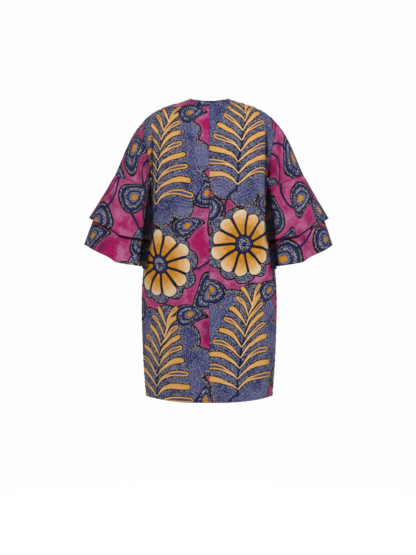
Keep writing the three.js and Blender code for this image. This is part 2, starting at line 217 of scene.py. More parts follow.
def lower_row(panel, side, share, places):
    """A row below the underarm, from share 0 at the hem to 1 at the underarm."""
    level = mix(HEM_Z, UNDERARM_Z, share)
    start = 0 if panel == "back" else along(FRONT_EDGE, "z", "x", level)
    x, y, out, length = ring_quarter(panel, level, start, places)
    push = flutes(panel, side, places, level, length)
    dip = HEM_DIP * (1 - fade(*DIP_FADES, places)) * (1 - share) ** 2 if panel == "back" else 0
    behind = 1 if panel == "back" else -1
    return np.stack([x + out[0] * push, behind * (y + out[1] * push), level - dip + 0 * x], axis=-1)


hem = lower_row("back", LEFT, 0, np.linspace(0, 1, 50))
print("the left half of the back hem spans", round(float(hem[-1, 0] - hem[0, 0]), 3), "m")

# %% [markdown]
# ### Over the shoulder
# From the underarm on, each column is one curve that goes on up, rounds the shoulder blade or the chest, and
# comes over the shoulder to the top edge. The last column becomes the armhole: it sets off towards the back
# or the chest, and turns up from there.

# %% Over the shoulder
ROWS_ABOVE = 96
NECK_COLUMNS = 30
SHOULDER_COLUMNS = 70
NECK_SHARE = 0.31
# How far a column runs on up and how far back or forward it reaches before it turns over the shoulder, and
# how far below the top edge it turns.
BLADE_RISE = 0.088
BLADE_REACH = 0.112
CHEST_REACH = 0.084
SHOULDER_FALL = 0.008
NECK_FALL = 0.015
# The same for the armhole, which takes over from this place across the panel.
ARMHOLE_FROM = 0.72
ARMHOLE_REACH = 0.092
ARMHOLE_RISE = 0.012
ARMHOLE_TUCK = 0.012
ARMHOLE_FALL = 0.022
# A column leaves the underarm in the direction that it has from this row on.
DIRECTION_FROM = 13 / 14


def top_edge(panel):
    """The neck and shoulder edge of a panel, and the place of each of its points across the panel."""
    share = np.linspace(0, 1, SHOULDER_COLUMNS + 1)
    x = mix(NECK_HALF, SHOULDER_LINE["x"][-1], share)
    shoulder = np.stack([x, 0 * x, along(SHOULDER_LINE, "x", "z", x)], axis=-1)
    if panel == "front":
        return shoulder, share
    part = np.linspace(0, 1, NECK_COLUMNS + 1)[:-1]
    a = part * math.pi / 2
    neck = [NECK_HALF * np.sin(a), NECK_DEPTH * np.cos(a), -NECK_DROP * np.cos(a) ** 2]
    places = np.concatenate([part * NECK_SHARE, mix(NECK_SHARE, 1, share)])
    return np.concatenate([np.stack(neck, axis=-1), shoulder]), places


def body_net(panel, side):
    """The points of a body panel, as for the left side."""
    behind = 1 if panel == "back" else -1
    top, places = top_edge(panel)
    below = np.array([lower_row(panel, side, t, places) for t in np.linspace(0, 1, ROWS_BELOW + 1)])
    foot = below[-1]
    at_side = fade(ARMHOLE_FROM, 1, places)
    near_neck = 1 - fade(0, NECK_SHARE, places) if panel == "back" else 0 * places
    up = foot - lower_row(panel, side, DIRECTION_FROM, places)
    rise = up * (BLADE_RISE / up[:, 2:])
    rise = mix(rise, np.array([0, ARMHOLE_REACH * behind, ARMHOLE_RISE]), at_side[:, None])
    reach = mix(BLADE_REACH if panel == "back" else CHEST_REACH, ARMHOLE_REACH, places)
    fall = mix(mix(SHOULDER_FALL, NECK_FALL, near_neck), ARMHOLE_FALL, at_side)
    over = np.stack([top[:, 0] - ARMHOLE_TUCK * at_side, reach * behind, top[:, 2] - fall], axis=-1)
    t = np.linspace(0, 1, ROWS_ABOVE + 1)[1:, None, None]
    above = (1 - t) ** 3 * foot + 3 * (1 - t) ** 2 * t * (foot + rise)
    above = above + 3 * (1 - t) * t**2 * over + t**3 * top
    return np.concatenate([below, above])


print("a back has", body_net("back", LEFT)[..., 0].size, "points")

# %% [markdown]
# ## Sleeves and flounces
# A sleeve runs from the armhole to a smaller ring above the elbow, which is tilted because the arm hangs out
# from the shoulder. Both flounces are sewn to that ring and flare like bells, the lower one longer and inside
# the upper one. The arm presses their inner side against the body, so that side follows the body's roundness:
# only its innermost part at the seam, and a wider part further down.

# %% A ring of a flounce
RING_TILT = math.radians(21)
OUTWARD = np.array([math.cos(RING_TILT), 0, math.sin(RING_TILT)])
DOWNWARD = np.array([math.sin(RING_TILT), 0, -math.cos(RING_TILT)])
WAVE_GROWTH = 1.4
SAG_GROWTH = 1.5
# Places across a ring, from 1 at its outside to -1 at the body. The hem sags more and more between the first
# two, and is taken up again between the next two, to this share of the sag.
SAG_ACROSS = (0.2, -0.7)
TAKEN_UP_ACROSS = (-0.70, -0.92)
TAKEN_UP_TO = -0.2
# Where the body begins to press a ring and where it presses fully: at the seam, and this far down.
PRESSED_AT_SEAM = (-0.5, -0.85)
PRESSED_BELOW = (-0.2, -0.58)
PRESSED_BELOW_FROM = 0.130
# Waves: degrees round the arm (0 outside, 90 behind, 180 at the body, 270 in front), half width, left, right.
FLOUNCE_WAVES = [
    (0, 26, 0.004, -0.002),
    (28, 15, -0.004, -0.003),
    (60, 17, 0.004, 0.006),
    (92, 15, -0.004, -0.007),
    (124, 15, 0.005, 0.004),
    (154, 13, -0.009, -0.010),
    (196, 16, 0.005, 0.005),
    (232, 16, -0.007, -0.006),
    (268, 17, 0.006, 0.007),
    (304, 17, -0.007, -0.006),
    (336, 15, 0.005, 0.004),
]


def body_side(z, y):
    """Where the body's side lies at height z and at y behind or before the side seam."""
    depth = np.where(y > 0, along(RINGS, "z", "back", z), along(RINGS, "z", "front", z))
    power = along(RINGS, "z", "square", z)
    return along(RINGS, "z", "half", z) * (1 - np.minimum(np.abs(y) / depth, 1) ** power) ** (1 / power)


def flounce_row(rows, angle, down, side):
    """One row of a flounce, at a distance down from the sleeve seam."""
    across, depth = np.cos(angle), np.sin(angle)
    out = np.zeros(len(angle))
    for at, width, left, right in FLOUNCE_WAVES:
        turn = (np.degrees(angle) - at + 180) % 360 - 180
        out += (left if side > 0 else right) * bell(turn / width)
    out *= (down / LOWER_FLOUNCE["down"][-1]) ** WAVE_GROWTH
    to_body = fade(*SAG_ACROSS, across) * mix(1, TAKEN_UP_TO, fade(*TAKEN_UP_ACROSS, across))
    sag = rows["sag_round"] * depth**2 + rows["sag_inside"] * to_body
    sag *= (down / rows["down"][-1]) ** SAG_GROWTH
    centre = np.array([along(rows, "down", "x", down), 0, along(rows, "down", "z", down)])
    row = centre + np.outer((along(rows, "down", "half", down) + out) * across, OUTWARD)
    row = row + np.outer(sag, DOWNWARD)
    row[:, 1] += (along(rows, "down", "deep", down) + out) * depth
    grown = fade(0, PRESSED_BELOW_FROM, down)
    begins, full = (mix(seam, below, grown) for seam, below in zip(PRESSED_AT_SEAM, PRESSED_BELOW))
    touching = body_side(row[:, 2], row[:, 1]) + along(rows, "down", "rest", down)
    row[:, 0] = mix(row[:, 0], touching, fade(begins, full, across))
    return row


hem = flounce_row(LOWER_FLOUNCE, np.linspace(0, 2 * math.pi, 361), LOWER_FLOUNCE["down"][-1], LEFT)
print("a lower hem is", round(float(np.linalg.norm(np.diff(hem, axis=0), axis=1).sum()), 3), "m round")

# %% [markdown]
# ### The columns of a sleeve
# The columns start at the armhole and go on down both flounces. They are counted from the underarm, up before
# the arm, over it and down behind it. Their angles are halfway between an even spacing along the armhole and
# an even spacing along the flounces, so that no face is much longer than it is wide.

# %% The columns of a sleeve
SLEEVE_COLUMNS = 250
ANGLE_STEPS = 1440


def armhole(back, front):
    """The armhole from the underarm, up before the arm, over it and down behind it, back to the underarm."""
    before = front[ROWS_BELOW:, -1]
    behind = back[ROWS_BELOW:, -1][::-1]
    return np.concatenate([before, behind[1:]])


def ring_angles(loop):
    """The angle on the sleeve ring of each point of the armhole, in radians."""
    run = np.concatenate([[0], np.cumsum(np.linalg.norm(np.diff(loop, axis=0), axis=1))])
    top = run[ROWS_ABOVE]
    before = math.pi * (1 + run[: ROWS_ABOVE + 1] / top)
    behind = math.pi * (2 + (run[ROWS_ABOVE + 1 :] - top) / (run[-1] - top))
    return np.concatenate([before, behind])


def spread_angles(loop_angles, side):
    """Angles for a sleeve's columns, spaced evenly along the armhole and along the flounces at once."""
    fine = np.linspace(math.pi, 3 * math.pi, ANGLE_STEPS)
    row = flounce_row(LOWER_FLOUNCE, fine, UPPER_FLOUNCE["down"][-1], side)
    run = np.concatenate([[0], np.cumsum(np.linalg.norm(np.diff(row, axis=0), axis=1))])
    armhole_run = np.interp(fine, loop_angles, np.linspace(0, 1, len(loop_angles)))
    return np.interp(np.linspace(0, 1, SLEEVE_COLUMNS + 1), (run / run[-1] + armhole_run) / 2, fine)


loop = armhole(body_net("back", LEFT), body_net("front", LEFT))
print("the armhole is", round(float(np.linalg.norm(np.diff(loop, axis=0), axis=1).sum()), 3), "m round")

# %% [markdown]
# ### A sleeve and its flounces
# A flounce is a pile of rings, from the seam to its hem. A sleeve has the armhole at one end and a ring at
# the other, so each of its columns is a smooth curve that leaves the armhole outwards and arrives at the
# ring nearly straight down.

# %% A sleeve and its flounces
SLEEVE_ROWS = 54
UPPER_ROWS = 46
LOWER_ROWS = 70
# How a sleeve leaves the armhole and arrives at the flounces, as shares of its length outwards and upwards:
# under the arm, and over it. Its fullness behind and before the arm is in metres.
LEAVE_UNDER, LEAVE_OVER = (1.1, -0.35), (0.66, -0.72)
ARRIVE_UNDER, ARRIVE_OVER = (0.2, -0.98), (0.44, -0.9)
LEAVE_FULLNESS = 0.034
ARRIVE_FULLNESS = -0.3 * LEAVE_FULLNESS
# Where across the arm the body presses the sleeve, and how far below the underarm it presses fully.
SLEEVE_PRESSED = (-0.55, -0.85)
SLEEVE_PRESSED_WITHIN = 0.012


def flounce_net(rows, count, angle, side):
    """The points of a flounce, from the sleeve seam down to its hem."""
    return np.array([flounce_row(rows, angle, d, side) for d in np.linspace(0, rows["down"][-1], count + 1)])


def sleeve_way(under, over, fullness, angle, length):
    """The way in which a sleeve leaves or arrives, changing from under the arm to over it."""
    top = (1 + np.cos(angle)) / 2
    outwards, upwards = (mix(low, high, top) * length for low, high in zip(under, over))
    return np.stack([outwards, fullness * np.sin(angle), upwards], axis=-1)


def sleeve_net(loop, angle, side):
    """The points of a sleeve, from the armhole to the flounce seam."""
    end = flounce_row(UPPER_FLOUNCE, angle, 0, side)
    length = np.linalg.norm(end - loop, axis=1)
    leave = sleeve_way(LEAVE_UNDER, LEAVE_OVER, LEAVE_FULLNESS, angle, length)
    arrive = sleeve_way(ARRIVE_UNDER, ARRIVE_OVER, ARRIVE_FULLNESS, angle, length)
    net = glide(loop, leave, end, arrive, np.linspace(0, 1, SLEEVE_ROWS + 1)[:, None, None])
    touching = body_side(net[..., 2], net[..., 1]) + UPPER_FLOUNCE["rest"][0]
    below = fade(UNDERARM_Z, UNDERARM_Z - SLEEVE_PRESSED_WITHIN, net[..., 2])
    pressed = fade(*SLEEVE_PRESSED, np.cos(angle)) * below
    net[..., 0] = mix(net[..., 0], np.minimum(net[..., 0], touching), pressed)
    return net


print("a sleeve has", (SLEEVE_ROWS + 1) * (SLEEVE_COLUMNS + 1), "points")

# %% [markdown]
# ## All ten nets
# Each piece is kept as a small record: its net, which way its net turns, whether it is a tube, and which of
# its edges are sewn. The right side is the left side's form mirrored, with its own flutes and waves.

# %% All ten nets
pieces = {}
for side, place in ((LEFT, "left"), (RIGHT, "right")):
    back, front = body_net("back", side), body_net("front", side)
    loop = armhole(back, front)
    loop_angles = ring_angles(loop)
    angle = spread_angles(loop_angles, side)
    loop = np.stack([np.interp(angle, loop_angles, loop[:, k]) for k in range(3)], axis=-1)
    upper = flounce_net(UPPER_FLOUNCE, UPPER_ROWS, angle, side)
    lower = flounce_net(LOWER_FLOUNCE, LOWER_ROWS, angle, side)
    made = {
        "back": (back, 1, False, ("first_column", "last_column", "last_row")),
        "front": (front, -1, False, ("last_column", "last_row")),
        "sleeve": (sleeve_net(loop, angle, side), 1, True, ("first_row", "last_row")),
        "upper_flounce": (upper, 1, True, ("first_row",)),
        "lower_flounce": (lower, 1, True, ("first_row",)),
    }
    for kind, (net, turn, tube, sewn) in made.items():
        net = net * np.array([side, 1, 1])
        pieces[f"{kind}_{place}"] = {
            "kind": kind, "side": side, "net": net, "turn": turn * side, "tube": tube, "sewn": sewn,
        }
print(len(pieces), "nets,", sum(p["net"].shape[0] * p["net"].shape[1] for p in pieces.values()), "points")

# %% [markdown]
# ## How the cloth lies: seams, puckers and creases
# Cloth is never as smooth as a draft. A seam pulls its two edges in a little and puckers the cloth beside it,
# and the way that a garment is worn presses creases into it. All of them need two things that are measured on
# each smooth net first: how far a point lies from each edge, and which way is out.

# %% Distances on a net
EDGES = ("first_row", "last_row", "first_column", "last_column")
NO_EDGE = 1.0


def edge_distances(net, tube):
    """The distance of each point from the four edges of its net, along the cloth."""
    down = np.linalg.norm(np.diff(net, axis=0), axis=2)
    across = np.linalg.norm(np.diff(net, axis=1), axis=2)
    up = np.concatenate([np.zeros((1, net.shape[1])), np.cumsum(down, axis=0)])
    over = np.concatenate([np.zeros((net.shape[0], 1)), np.cumsum(across, axis=1)], axis=1)
    far = np.full(over.shape, NO_EDGE)
    return {
        "first_row": up,
        "last_row": up[-1:] - up,
        "first_column": far if tube else over,
        "last_column": far if tube else over[:, -1:] - over,
        "up": up,
        "over": over,
    }


def net_normals(net, tube, turn):
    """The outward direction at each point of a net."""
    up = np.gradient(net, axis=0)
    over = np.gradient(net, axis=1)
    if tube:
        over[:, 0] = over[:, -1] = (net[:, 1] - net[:, -2]) / 2
    normal = np.cross(up, over) * turn
    return normal / np.maximum(np.linalg.norm(normal, axis=2, keepdims=True), 1e-12)


for piece in pieces.values():
    piece["normal"] = net_normals(piece["net"], piece["tube"], piece["turn"])
    piece["edge"] = edge_distances(piece["net"], piece["tube"])
print("a back is", round(float(pieces["back_left"]["edge"]["up"][-1, 0]), 3), "m long at centre back")

# %% [markdown]
# ### Creases
# Deep creases are few, and each has its own place: beside the armholes, where the arm pushes the body panel
# into a valley, in the crook of each sleeve, and where a flounce meets the body. They are written down one by
# one, with their own lengths and depths, because evenly spaced folds look false.

# %% The table of creases
BEHIND, BEFORE = 1, -1
# The side that a crease is seen from, its ends as (x, z) on the left side's scale, half width, depth, bow.
CREASES = {
    "back_left": [
        (BEHIND, (0.189, -0.118), (0.1885, -0.320), 0.0046, 0.0098, 0.002),
        (BEHIND, (0.1885, -0.270), (0.191, -0.430), 0.0050, 0.0095, 0.000),
        (BEHIND, (0.168, -0.092), (0.176, -0.186), 0.0044, 0.0078, -0.003),
        (BEHIND, (0.120, -0.070), (0.158, -0.132), 0.0120, 0.0016, 0.005),
        (BEHIND, (0.070, -0.560), (0.176, -0.520), 0.0200, 0.0014, 0.010),
        (BEHIND, (0.168, -0.640), (0.186, -0.800), 0.0140, 0.0022, 0.006),
    ],
    "back_right": [
        (BEHIND, (0.190, -0.104), (0.1885, -0.310), 0.0046, 0.0102, 0.002),
        (BEHIND, (0.1885, -0.260), (0.191, -0.430), 0.0050, 0.0095, 0.000),
        (BEHIND, (0.132, -0.076), (0.170, -0.150), 0.0110, 0.0018, 0.004),
        (BEHIND, (0.060, -0.500), (0.180, -0.545), 0.0180, 0.0013, -0.008),
        (BEHIND, (0.160, -0.700), (0.190, -0.860), 0.0150, 0.0020, -0.005),
    ],
    "front_left": [
        (BEFORE, (0.184, -0.120), (0.186, -0.330), 0.0070, 0.0080, 0.004),
        (BEFORE, (0.162, -0.110), (0.176, -0.215), 0.0065, 0.0040, -0.004),
        (BEFORE, (0.080, -0.060), (0.120, -0.260), 0.0130, 0.0030, 0.010),
        (BEFORE, (0.064, -0.300), (0.070, -0.620), 0.0120, 0.0024, -0.004),
    ],
    "front_right": [
        (BEFORE, (0.186, -0.115), (0.187, -0.300), 0.0068, 0.0084, 0.003),
        (BEFORE, (0.092, -0.070), (0.150, -0.300), 0.0140, 0.0032, 0.012),
        (BEFORE, (0.066, -0.420), (0.074, -0.760), 0.0130, 0.0026, 0.005),
    ],
    "sleeve_left": [
        (BEHIND, (0.206, -0.205), (0.246, -0.262), 0.0070, 0.0034, 0.004),
        (BEHIND, (0.214, -0.160), (0.262, -0.212), 0.0090, 0.0022, 0.005),
        (BEHIND, (0.236, -0.276), (0.300, -0.250), 0.0080, 0.0018, -0.004),
        (BEFORE, (0.208, -0.190), (0.256, -0.266), 0.0075, 0.0040, 0.003),
        (BEFORE, (0.220, -0.130), (0.274, -0.196), 0.0100, 0.0024, 0.004),
    ],
    "sleeve_right": [
        (BEHIND, (0.204, -0.190), (0.240, -0.258), 0.0075, 0.0036, 0.004),
        (BEHIND, (0.222, -0.140), (0.270, -0.205), 0.0095, 0.0020, 0.004),
        (BEHIND, (0.230, -0.284), (0.286, -0.262), 0.0080, 0.0020, -0.003),
        (BEFORE, (0.210, -0.215), (0.244, -0.270), 0.0070, 0.0042, 0.004),
        (BEFORE, (0.216, -0.150), (0.262, -0.230), 0.0110, 0.0022, -0.005),
    ],
    "upper_flounce_left": [
        (BEHIND, (0.191, -0.285), (0.2170, -0.500), 0.0120, 0.0320, 0.001),
        (BEHIND, (0.262, -0.300), (0.280, -0.430), 0.0100, 0.0018, 0.004),
        (BEHIND, (0.320, -0.300), (0.362, -0.400), 0.0120, 0.0020, -0.004),
        (BEFORE, (0.208, -0.290), (0.203, -0.500), 0.0110, 0.0220, 0.003),
        (BEFORE, (0.284, -0.305), (0.312, -0.450), 0.0110, 0.0030, 0.004),
    ],
    "upper_flounce_right": [
        (BEHIND, (0.194, -0.285), (0.2140, -0.500), 0.0125, 0.0320, 0.001),
        (BEHIND, (0.276, -0.305), (0.300, -0.440), 0.0110, 0.0020, 0.004),
        (BEFORE, (0.210, -0.290), (0.206, -0.500), 0.0125, 0.0240, 0.002),
        (BEFORE, (0.262, -0.310), (0.274, -0.430), 0.0100, 0.0026, -0.003),
    ],
    "lower_flounce_left": [
        (BEHIND, (0.191, -0.285), (0.2315, -0.620), 0.0120, 0.0330, 0.001),
        (BEHIND, (0.300, -0.450), (0.312, -0.550), 0.0110, 0.0024, 0.003),
        (BEFORE, (0.208, -0.290), (0.203, -0.620), 0.0110, 0.0220, 0.003),
        (BEFORE, (0.330, -0.430), (0.350, -0.530), 0.0120, 0.0030, 0.003),
    ],
    "lower_flounce_right": [
        (BEHIND, (0.194, -0.285), (0.2252, -0.620), 0.0125, 0.0330, 0.001),
        (BEHIND, (0.224, -0.462), (0.248, -0.580), 0.0042, 0.0060, 0.002),
        (BEHIND, (0.345, -0.430), (0.372, -0.520), 0.0090, 0.0048, -0.003),
        (BEFORE, (0.210, -0.290), (0.206, -0.620), 0.0125, 0.0240, 0.002),
        (BEFORE, (0.290, -0.440), (0.296, -0.550), 0.0100, 0.0032, 0.003),
    ],
}
print(sum(len(rows) for rows in CREASES.values()), "creases in the table")

# %% [markdown]
# ### The shape of a crease
# A crease is a soft trough with a faint ridge on each side, because cloth that is pushed in at one place
# comes out beside it. It tapers off at both ends, and a bow keeps it from being a ruler's line.

# %% The shape of a crease
RIDGE_SHARE = 0.35
RIDGE_WIDER = 2.4
CREASE_RUNS_ON = 0.02
CREASE_TAPERS = 0.05
CREASE_SIDE = (0.010, 0.040)


def crease(net, side, face, start, end, width, depth, bow):
    """How far one crease is pushed in at each point of a net, where the net lies on the crease's side."""
    flat = np.stack([net[..., 0] * side, net[..., 2]], axis=-1)
    line = np.subtract(end, start)
    length = np.hypot(*line)
    line = line / length
    along_it = (flat - start) @ line
    off_it = (flat - start) @ np.array([-line[1], line[0]])
    share = np.clip(along_it / length, 0, 1)
    off_it = off_it - bow * np.sin(math.pi * share)
    begun = fade(-CREASE_RUNS_ON, CREASE_TAPERS, along_it)
    ended = fade(length + CREASE_RUNS_ON, length - CREASE_TAPERS, along_it)
    trough = bell(off_it / width) - RIDGE_SHARE * bell(off_it / (RIDGE_WIDER * width))
    on_side = fade(*CREASE_SIDE, net[..., 1] * face)
    return depth * (begun * ended) * on_side * trough / (1 - RIDGE_SHARE)


ridge = bell(np.linspace(0, 5, 501)) - RIDGE_SHARE * bell(np.linspace(0, 5, 501) / RIDGE_WIDER)
print("a ridge is", round(float(-ridge.min() / ridge.max()), 2), "of the trough's depth")

# %% [markdown]
# ### Where no light comes
# The narrow place between the arm and the body is nearly black on a worn jacket, and so is the cloth just
# under an upper flounce's hem. A few lights in an open room can't show that well, so a stored number makes
# the cloth darker there, beside the real depth of the fold.

# %% Where no light comes
# By height: where the back panel begins to turn dark, and how far out the sleeve and its flounces still are.
BESIDE_BODY = {
    "z": [-0.620, -0.555, -0.477, -0.385, -0.307, -0.200],
    "panel": [0.250, 0.235, 0.208, 0.1910, 0.1925, 0.1950],
    "arm": [0.247, 0.2330, 0.2200, 0.2080, 0.2000, 0.1960],
}
# From light to dark: downwards from the armhole, and across at the panel's line and at the arm's line.
BESIDE_BODY_TOP = (-0.180, -0.300)
PANEL_SHADE_EDGE = (-0.004, 0.004)
ARM_SHADE_EDGE = (0.006, -0.004)
ARM_SHADE_BEHIND = 0.020
# A crease of this depth is dark all through. An upper hem's shade has its middle a little below that hem.
DEEP_FOLD = 0.014
HEM_SHADE_BELOW = 0.004
HEM_SHADE_HALF = 0.006


def shade_beside_body(piece):
    """How dark a piece is in the narrow place between the arm and the body, as seen from behind."""
    across, behind, up = np.abs(piece["net"][..., 0]), piece["net"][..., 1], piece["net"][..., 2]
    below_top = fade(*BESIDE_BODY_TOP, up)
    if piece["kind"] == "back":
        start = along(BESIDE_BODY, "z", "panel", up)
        light_ends, dark_begins = (start + shift for shift in PANEL_SHADE_EDGE)
        return below_top * fade(light_ends, dark_begins, across)
    start = along(BESIDE_BODY, "z", "arm", up)
    light_ends, dark_begins = (start + shift for shift in ARM_SHADE_EDGE)
    return below_top * fade(light_ends, dark_begins, across) * fade(0, ARM_SHADE_BEHIND, behind)


def fold_shade(name, piece, depth):
    """How dark each point of a piece is, from 0 to 1, in a fold, beside the body or under a hem."""
    shades = [np.clip(depth / DEEP_FOLD, 0, 1)]
    if piece["kind"] != "front":
        shades.append(shade_beside_body(piece))
    if piece["kind"] == "lower_flounce":
        hem = pieces[name.replace("lower", "upper")]["net"][-1, :, 2]
        shades.append(bell((piece["net"][..., 2] - hem + HEM_SHADE_BELOW) / HEM_SHADE_HALF))
    return np.maximum.reduce(shades)


dark = shade_beside_body(pieces["back_left"]) > 0.5
print(round(float(dark.mean()) * 100, 1), "% of the left back is in the dark beside the arm")

# %% [markdown]
# ### Seams and puckers
# A seam lies a little lower than the cloth beside it, which puckers where the thread draws it up. The puckers
# are a wave with three lengths that never fall in step. A tube's relief has to end as it began, so it is led
# back to its first value over the last few centimetres.

# %% Seams and puckers
SEAM_DIP = 0.0010
SEAM_HALF = 0.0026
PUCKER = 0.0005
PUCKER_FROM_SEAM = 0.009
CLOSING = 0.030
# Each wave: its length, its strength, and where it starts.
PUCKER_WAVES = [(0.023, 1.0, 0.0), (0.037, 0.7, 1.3), (0.0141, 0.5, 0.4)]


def pucker(place):
    """An uneven wave along a seam."""
    turn = 2 * math.pi * place
    return sum(strength * np.sin(turn / length + start) for length, strength, start in PUCKER_WAVES)


def seam_relief(piece):
    """How far the seams of a piece push its cloth out."""
    relief = np.zeros(piece["net"].shape[:2])
    over = piece["edge"]["over"]
    for name in piece["sewn"]:
        away = piece["edge"][name]
        place = over if name.endswith("row") else piece["edge"]["up"]
        beside = away / PUCKER_FROM_SEAM
        relief -= SEAM_DIP * bell(away / SEAM_HALF)
        relief += PUCKER * pucker(place) * beside * np.exp(1 - beside)
    if piece["tube"]:
        relief = mix(relief, relief[:, :1], fade(CLOSING, 0, over[:, -1:] - over))
    return relief


print("puckers are up to", round(PUCKER * 1000 * sum(wave[1] for wave in PUCKER_WAVES), 2), "mm high")

# %% [markdown]
# ### Laying the cloth
# Seams move a point along its own way out. Creases move it straight forwards or back, as an arm does. A seam
# holds its edges in place, so no crease reaches it. At last the flounces are kept clear of the body.

# %% Laying the cloth
HELD_BY_SEAM = 0.016


def press_creases(name, piece):
    """How deep the creases of a piece are at each point, and how far they push it along Y."""
    held = np.ones(piece["net"].shape[:2])
    for edge in piece["sewn"]:
        held *= fade(0, HELD_BY_SEAM, piece["edge"][edge])
    depth, push = np.zeros(held.shape), np.zeros(held.shape)
    for row in CREASES[name]:
        pressed = held * crease(piece["net"], piece["side"], *row)
        depth += pressed
        push -= row[0] * pressed
    return depth, push


def keep_clear(net, side, clearance):
    """The net of a flounce with no point nearer to the body's side than its clearance."""
    touching = body_side(net[..., 2], net[..., 1]) + clearance
    net[..., 0] = side * np.maximum(side * net[..., 0], touching)
    return net


for name, piece in pieces.items():
    depth, push = press_creases(name, piece)
    piece["fold"] = fold_shade(name, piece, depth)
    piece["net"] = piece["net"] + piece["normal"] * seam_relief(piece)[..., None]
    piece["net"][..., 1] += push
    if "flounce" in name:
        rows = UPPER_FLOUNCE if piece["kind"] == "upper_flounce" else LOWER_FLOUNCE
        piece["net"] = keep_clear(piece["net"], piece["side"], rows["rest"][0])
    print(name, "has creases up to", round(depth.max() * 1000, 1), "mm deep")

# %% [markdown]
# ## The print, drawn as distances
# Printed cotton of this kind has large motifs with drawn outlines. An image would be the usual way to carry
# them, but a distance is better here: at each point of the net the script stores how far the nearest motif
# edge lies, and the material turns that number into a crisp edge at any size. The motifs are a palm frond on
# a scalloped ground, a daisy, a curled drop with bands, and stems. They repeat in a half drop: each column of
# motifs starts half a repeat lower than the one beside it. The pieces are cut from different places of the
# bolt, so the print doesn't match at the seams.

# %% Where a motif repeats
REPEAT_WIDTH = 0.500
REPEAT_HEIGHT = 0.680


def repeats(u, v, at, reach):
    """For each repeat of a motif on the cloth: which points are near it, and their places from its middle."""
    first, last = (math.floor((edge - at[0]) / REPEAT_WIDTH) for edge in (u.min(), u.max()))
    low, high = (math.floor((edge - at[1]) / REPEAT_HEIGHT) for edge in (v.min(), v.max()))
    for column in range(first - 1, last + 3):
        for row in range(low - 2, high + 3):
            x = u - at[0] - column * REPEAT_WIDTH
            y = v - at[1] - (row + 0.5 * (column % 2)) * REPEAT_HEIGHT
            near = np.hypot(x, y) < reach
            if near.any():
                yield near, x[near], y[near]


print("a motif comes again every", REPEAT_WIDTH, "m across and", REPEAT_HEIGHT, "m up")

# %% [markdown]
# ### Brush strokes
# Leaflets, ribs and stems are all brush strokes: a path whose half width changes from point to point. The
# distance from one is the smallest distance from its short straight parts.

# %% Brush strokes
FAR_OFF = 9.0


def turned(x, y, degrees):
    """A place seen from a motif that is turned by some degrees to the left."""
    c, s = math.cos(math.radians(degrees)), math.sin(math.radians(degrees))
    return x * c + y * s, y * c - x * s


def stroke(x, y, path, widths):
    """The distance from a brush stroke along a path, with a half width at each of its points."""
    best = np.full(x.shape, FAR_OFF)
    share = np.zeros(x.shape)
    steps = len(path) - 1
    for k in range(steps):
        (ax, ay), (bx, by) = path[k], path[k + 1]
        dx, dy = bx - ax, by - ay
        t = np.clip(((x - ax) * dx + (y - ay) * dy) / (dx * dx + dy * dy), 0, 1)
        distance = np.hypot(x - ax - t * dx, y - ay - t * dy) - mix(widths[k], widths[k + 1], t)
        share = np.where(distance < best, (k + t) / steps, share)
        best = np.minimum(best, distance)
    return best, share


def curve(start, middle, end, steps):
    """Points on a curve that leaves start towards middle and arrives at end."""
    t = np.linspace(0, 1, steps + 1)[:, None]
    return (1 - t) ** 2 * np.array(start) + 2 * (1 - t) * t * np.array(middle) + t**2 * np.array(end)


print("halfway along a bent path:", curve((0, 0), (0.1, 0), (0.1, 0.1), 2)[1])

# %% [markdown]
# ### The palm frond
# A bent rib carries leaflets in pairs. Each leaflet is one brush stroke: thin where it leaves the rib, widest
# near its round tip. The lower leaflets are longer and stand out more.

# %% The palm frond
FROND_HALF = 0.155
FROND_PAIRS = 9
RIB = ((-0.022, -FROND_HALF), (-0.018, 0.010), (0.030, FROND_HALF))
RIB_STEPS = 8
RIB_HALVES = (0.0042, 0.0016)
LEAFLET_STEPS = 5
LEAFLET_PROFILE = (0.0014, 0.0032, 0.0052, 0.0070, 0.0084, 0.0076)
# From the lowest pair to the highest: degrees from the rib, length, and how much of the profile's width.
LEAFLET_SPREADS = (78, 24)
LEAFLET_LENGTHS = (0.132, 0.066)
LEAFLET_WIDTHS = (1.15, 0.75)
LEAFLET_BENDS_AT = 0.55
FIRST_PAIR_AT = 0.55
# The two hands of the rib, left and right, and how much longer the leaflets of each are.
HANDS = ((-1, 0.94), (1, 1.06))


def way(angle):
    """A step of one metre at an angle to the right of straight up."""
    return np.array([math.sin(angle), math.cos(angle)])


def frond(x, y):
    """For a frond: the distance from its leaflets, how far along, which are hollow, the rib's distance."""
    rib = curve(*RIB, RIB_STEPS)
    rib_distance, _ = stroke(x, y, rib, np.linspace(*RIB_HALVES, len(rib)))
    best, shade, hollow = np.full(x.shape, FAR_OFF), np.zeros(x.shape), np.zeros(x.shape)
    for k in range(FROND_PAIRS):
        t = (k + FIRST_PAIR_AT) / FROND_PAIRS
        i = int(t * RIB_STEPS)
        base = mix(rib[i], rib[i + 1], t * RIB_STEPS - i)
        widths = np.array(LEAFLET_PROFILE) * mix(*LEAFLET_WIDTHS, t)
        for hand, longer in HANDS:
            spread = math.radians(mix(*LEAFLET_SPREADS, t)) * hand
            length = mix(*LEAFLET_LENGTHS, t) * longer
            bend = base + LEAFLET_BENDS_AT * length * way(spread * LEAFLET_BENDS_AT)
            leaflet = curve(base, bend, base + length * way(spread), LEAFLET_STEPS)
            distance, share = stroke(x, y, leaflet, widths)
            shade = np.where(distance < best, share, shade)
            hollow = np.where(distance < best, (k + (hand > 0)) % 2, hollow)
            best = np.minimum(best, distance)
    return best, shade, hollow, rib_distance


print("a frond has", FROND_PAIRS * len(HANDS), "leaflets")

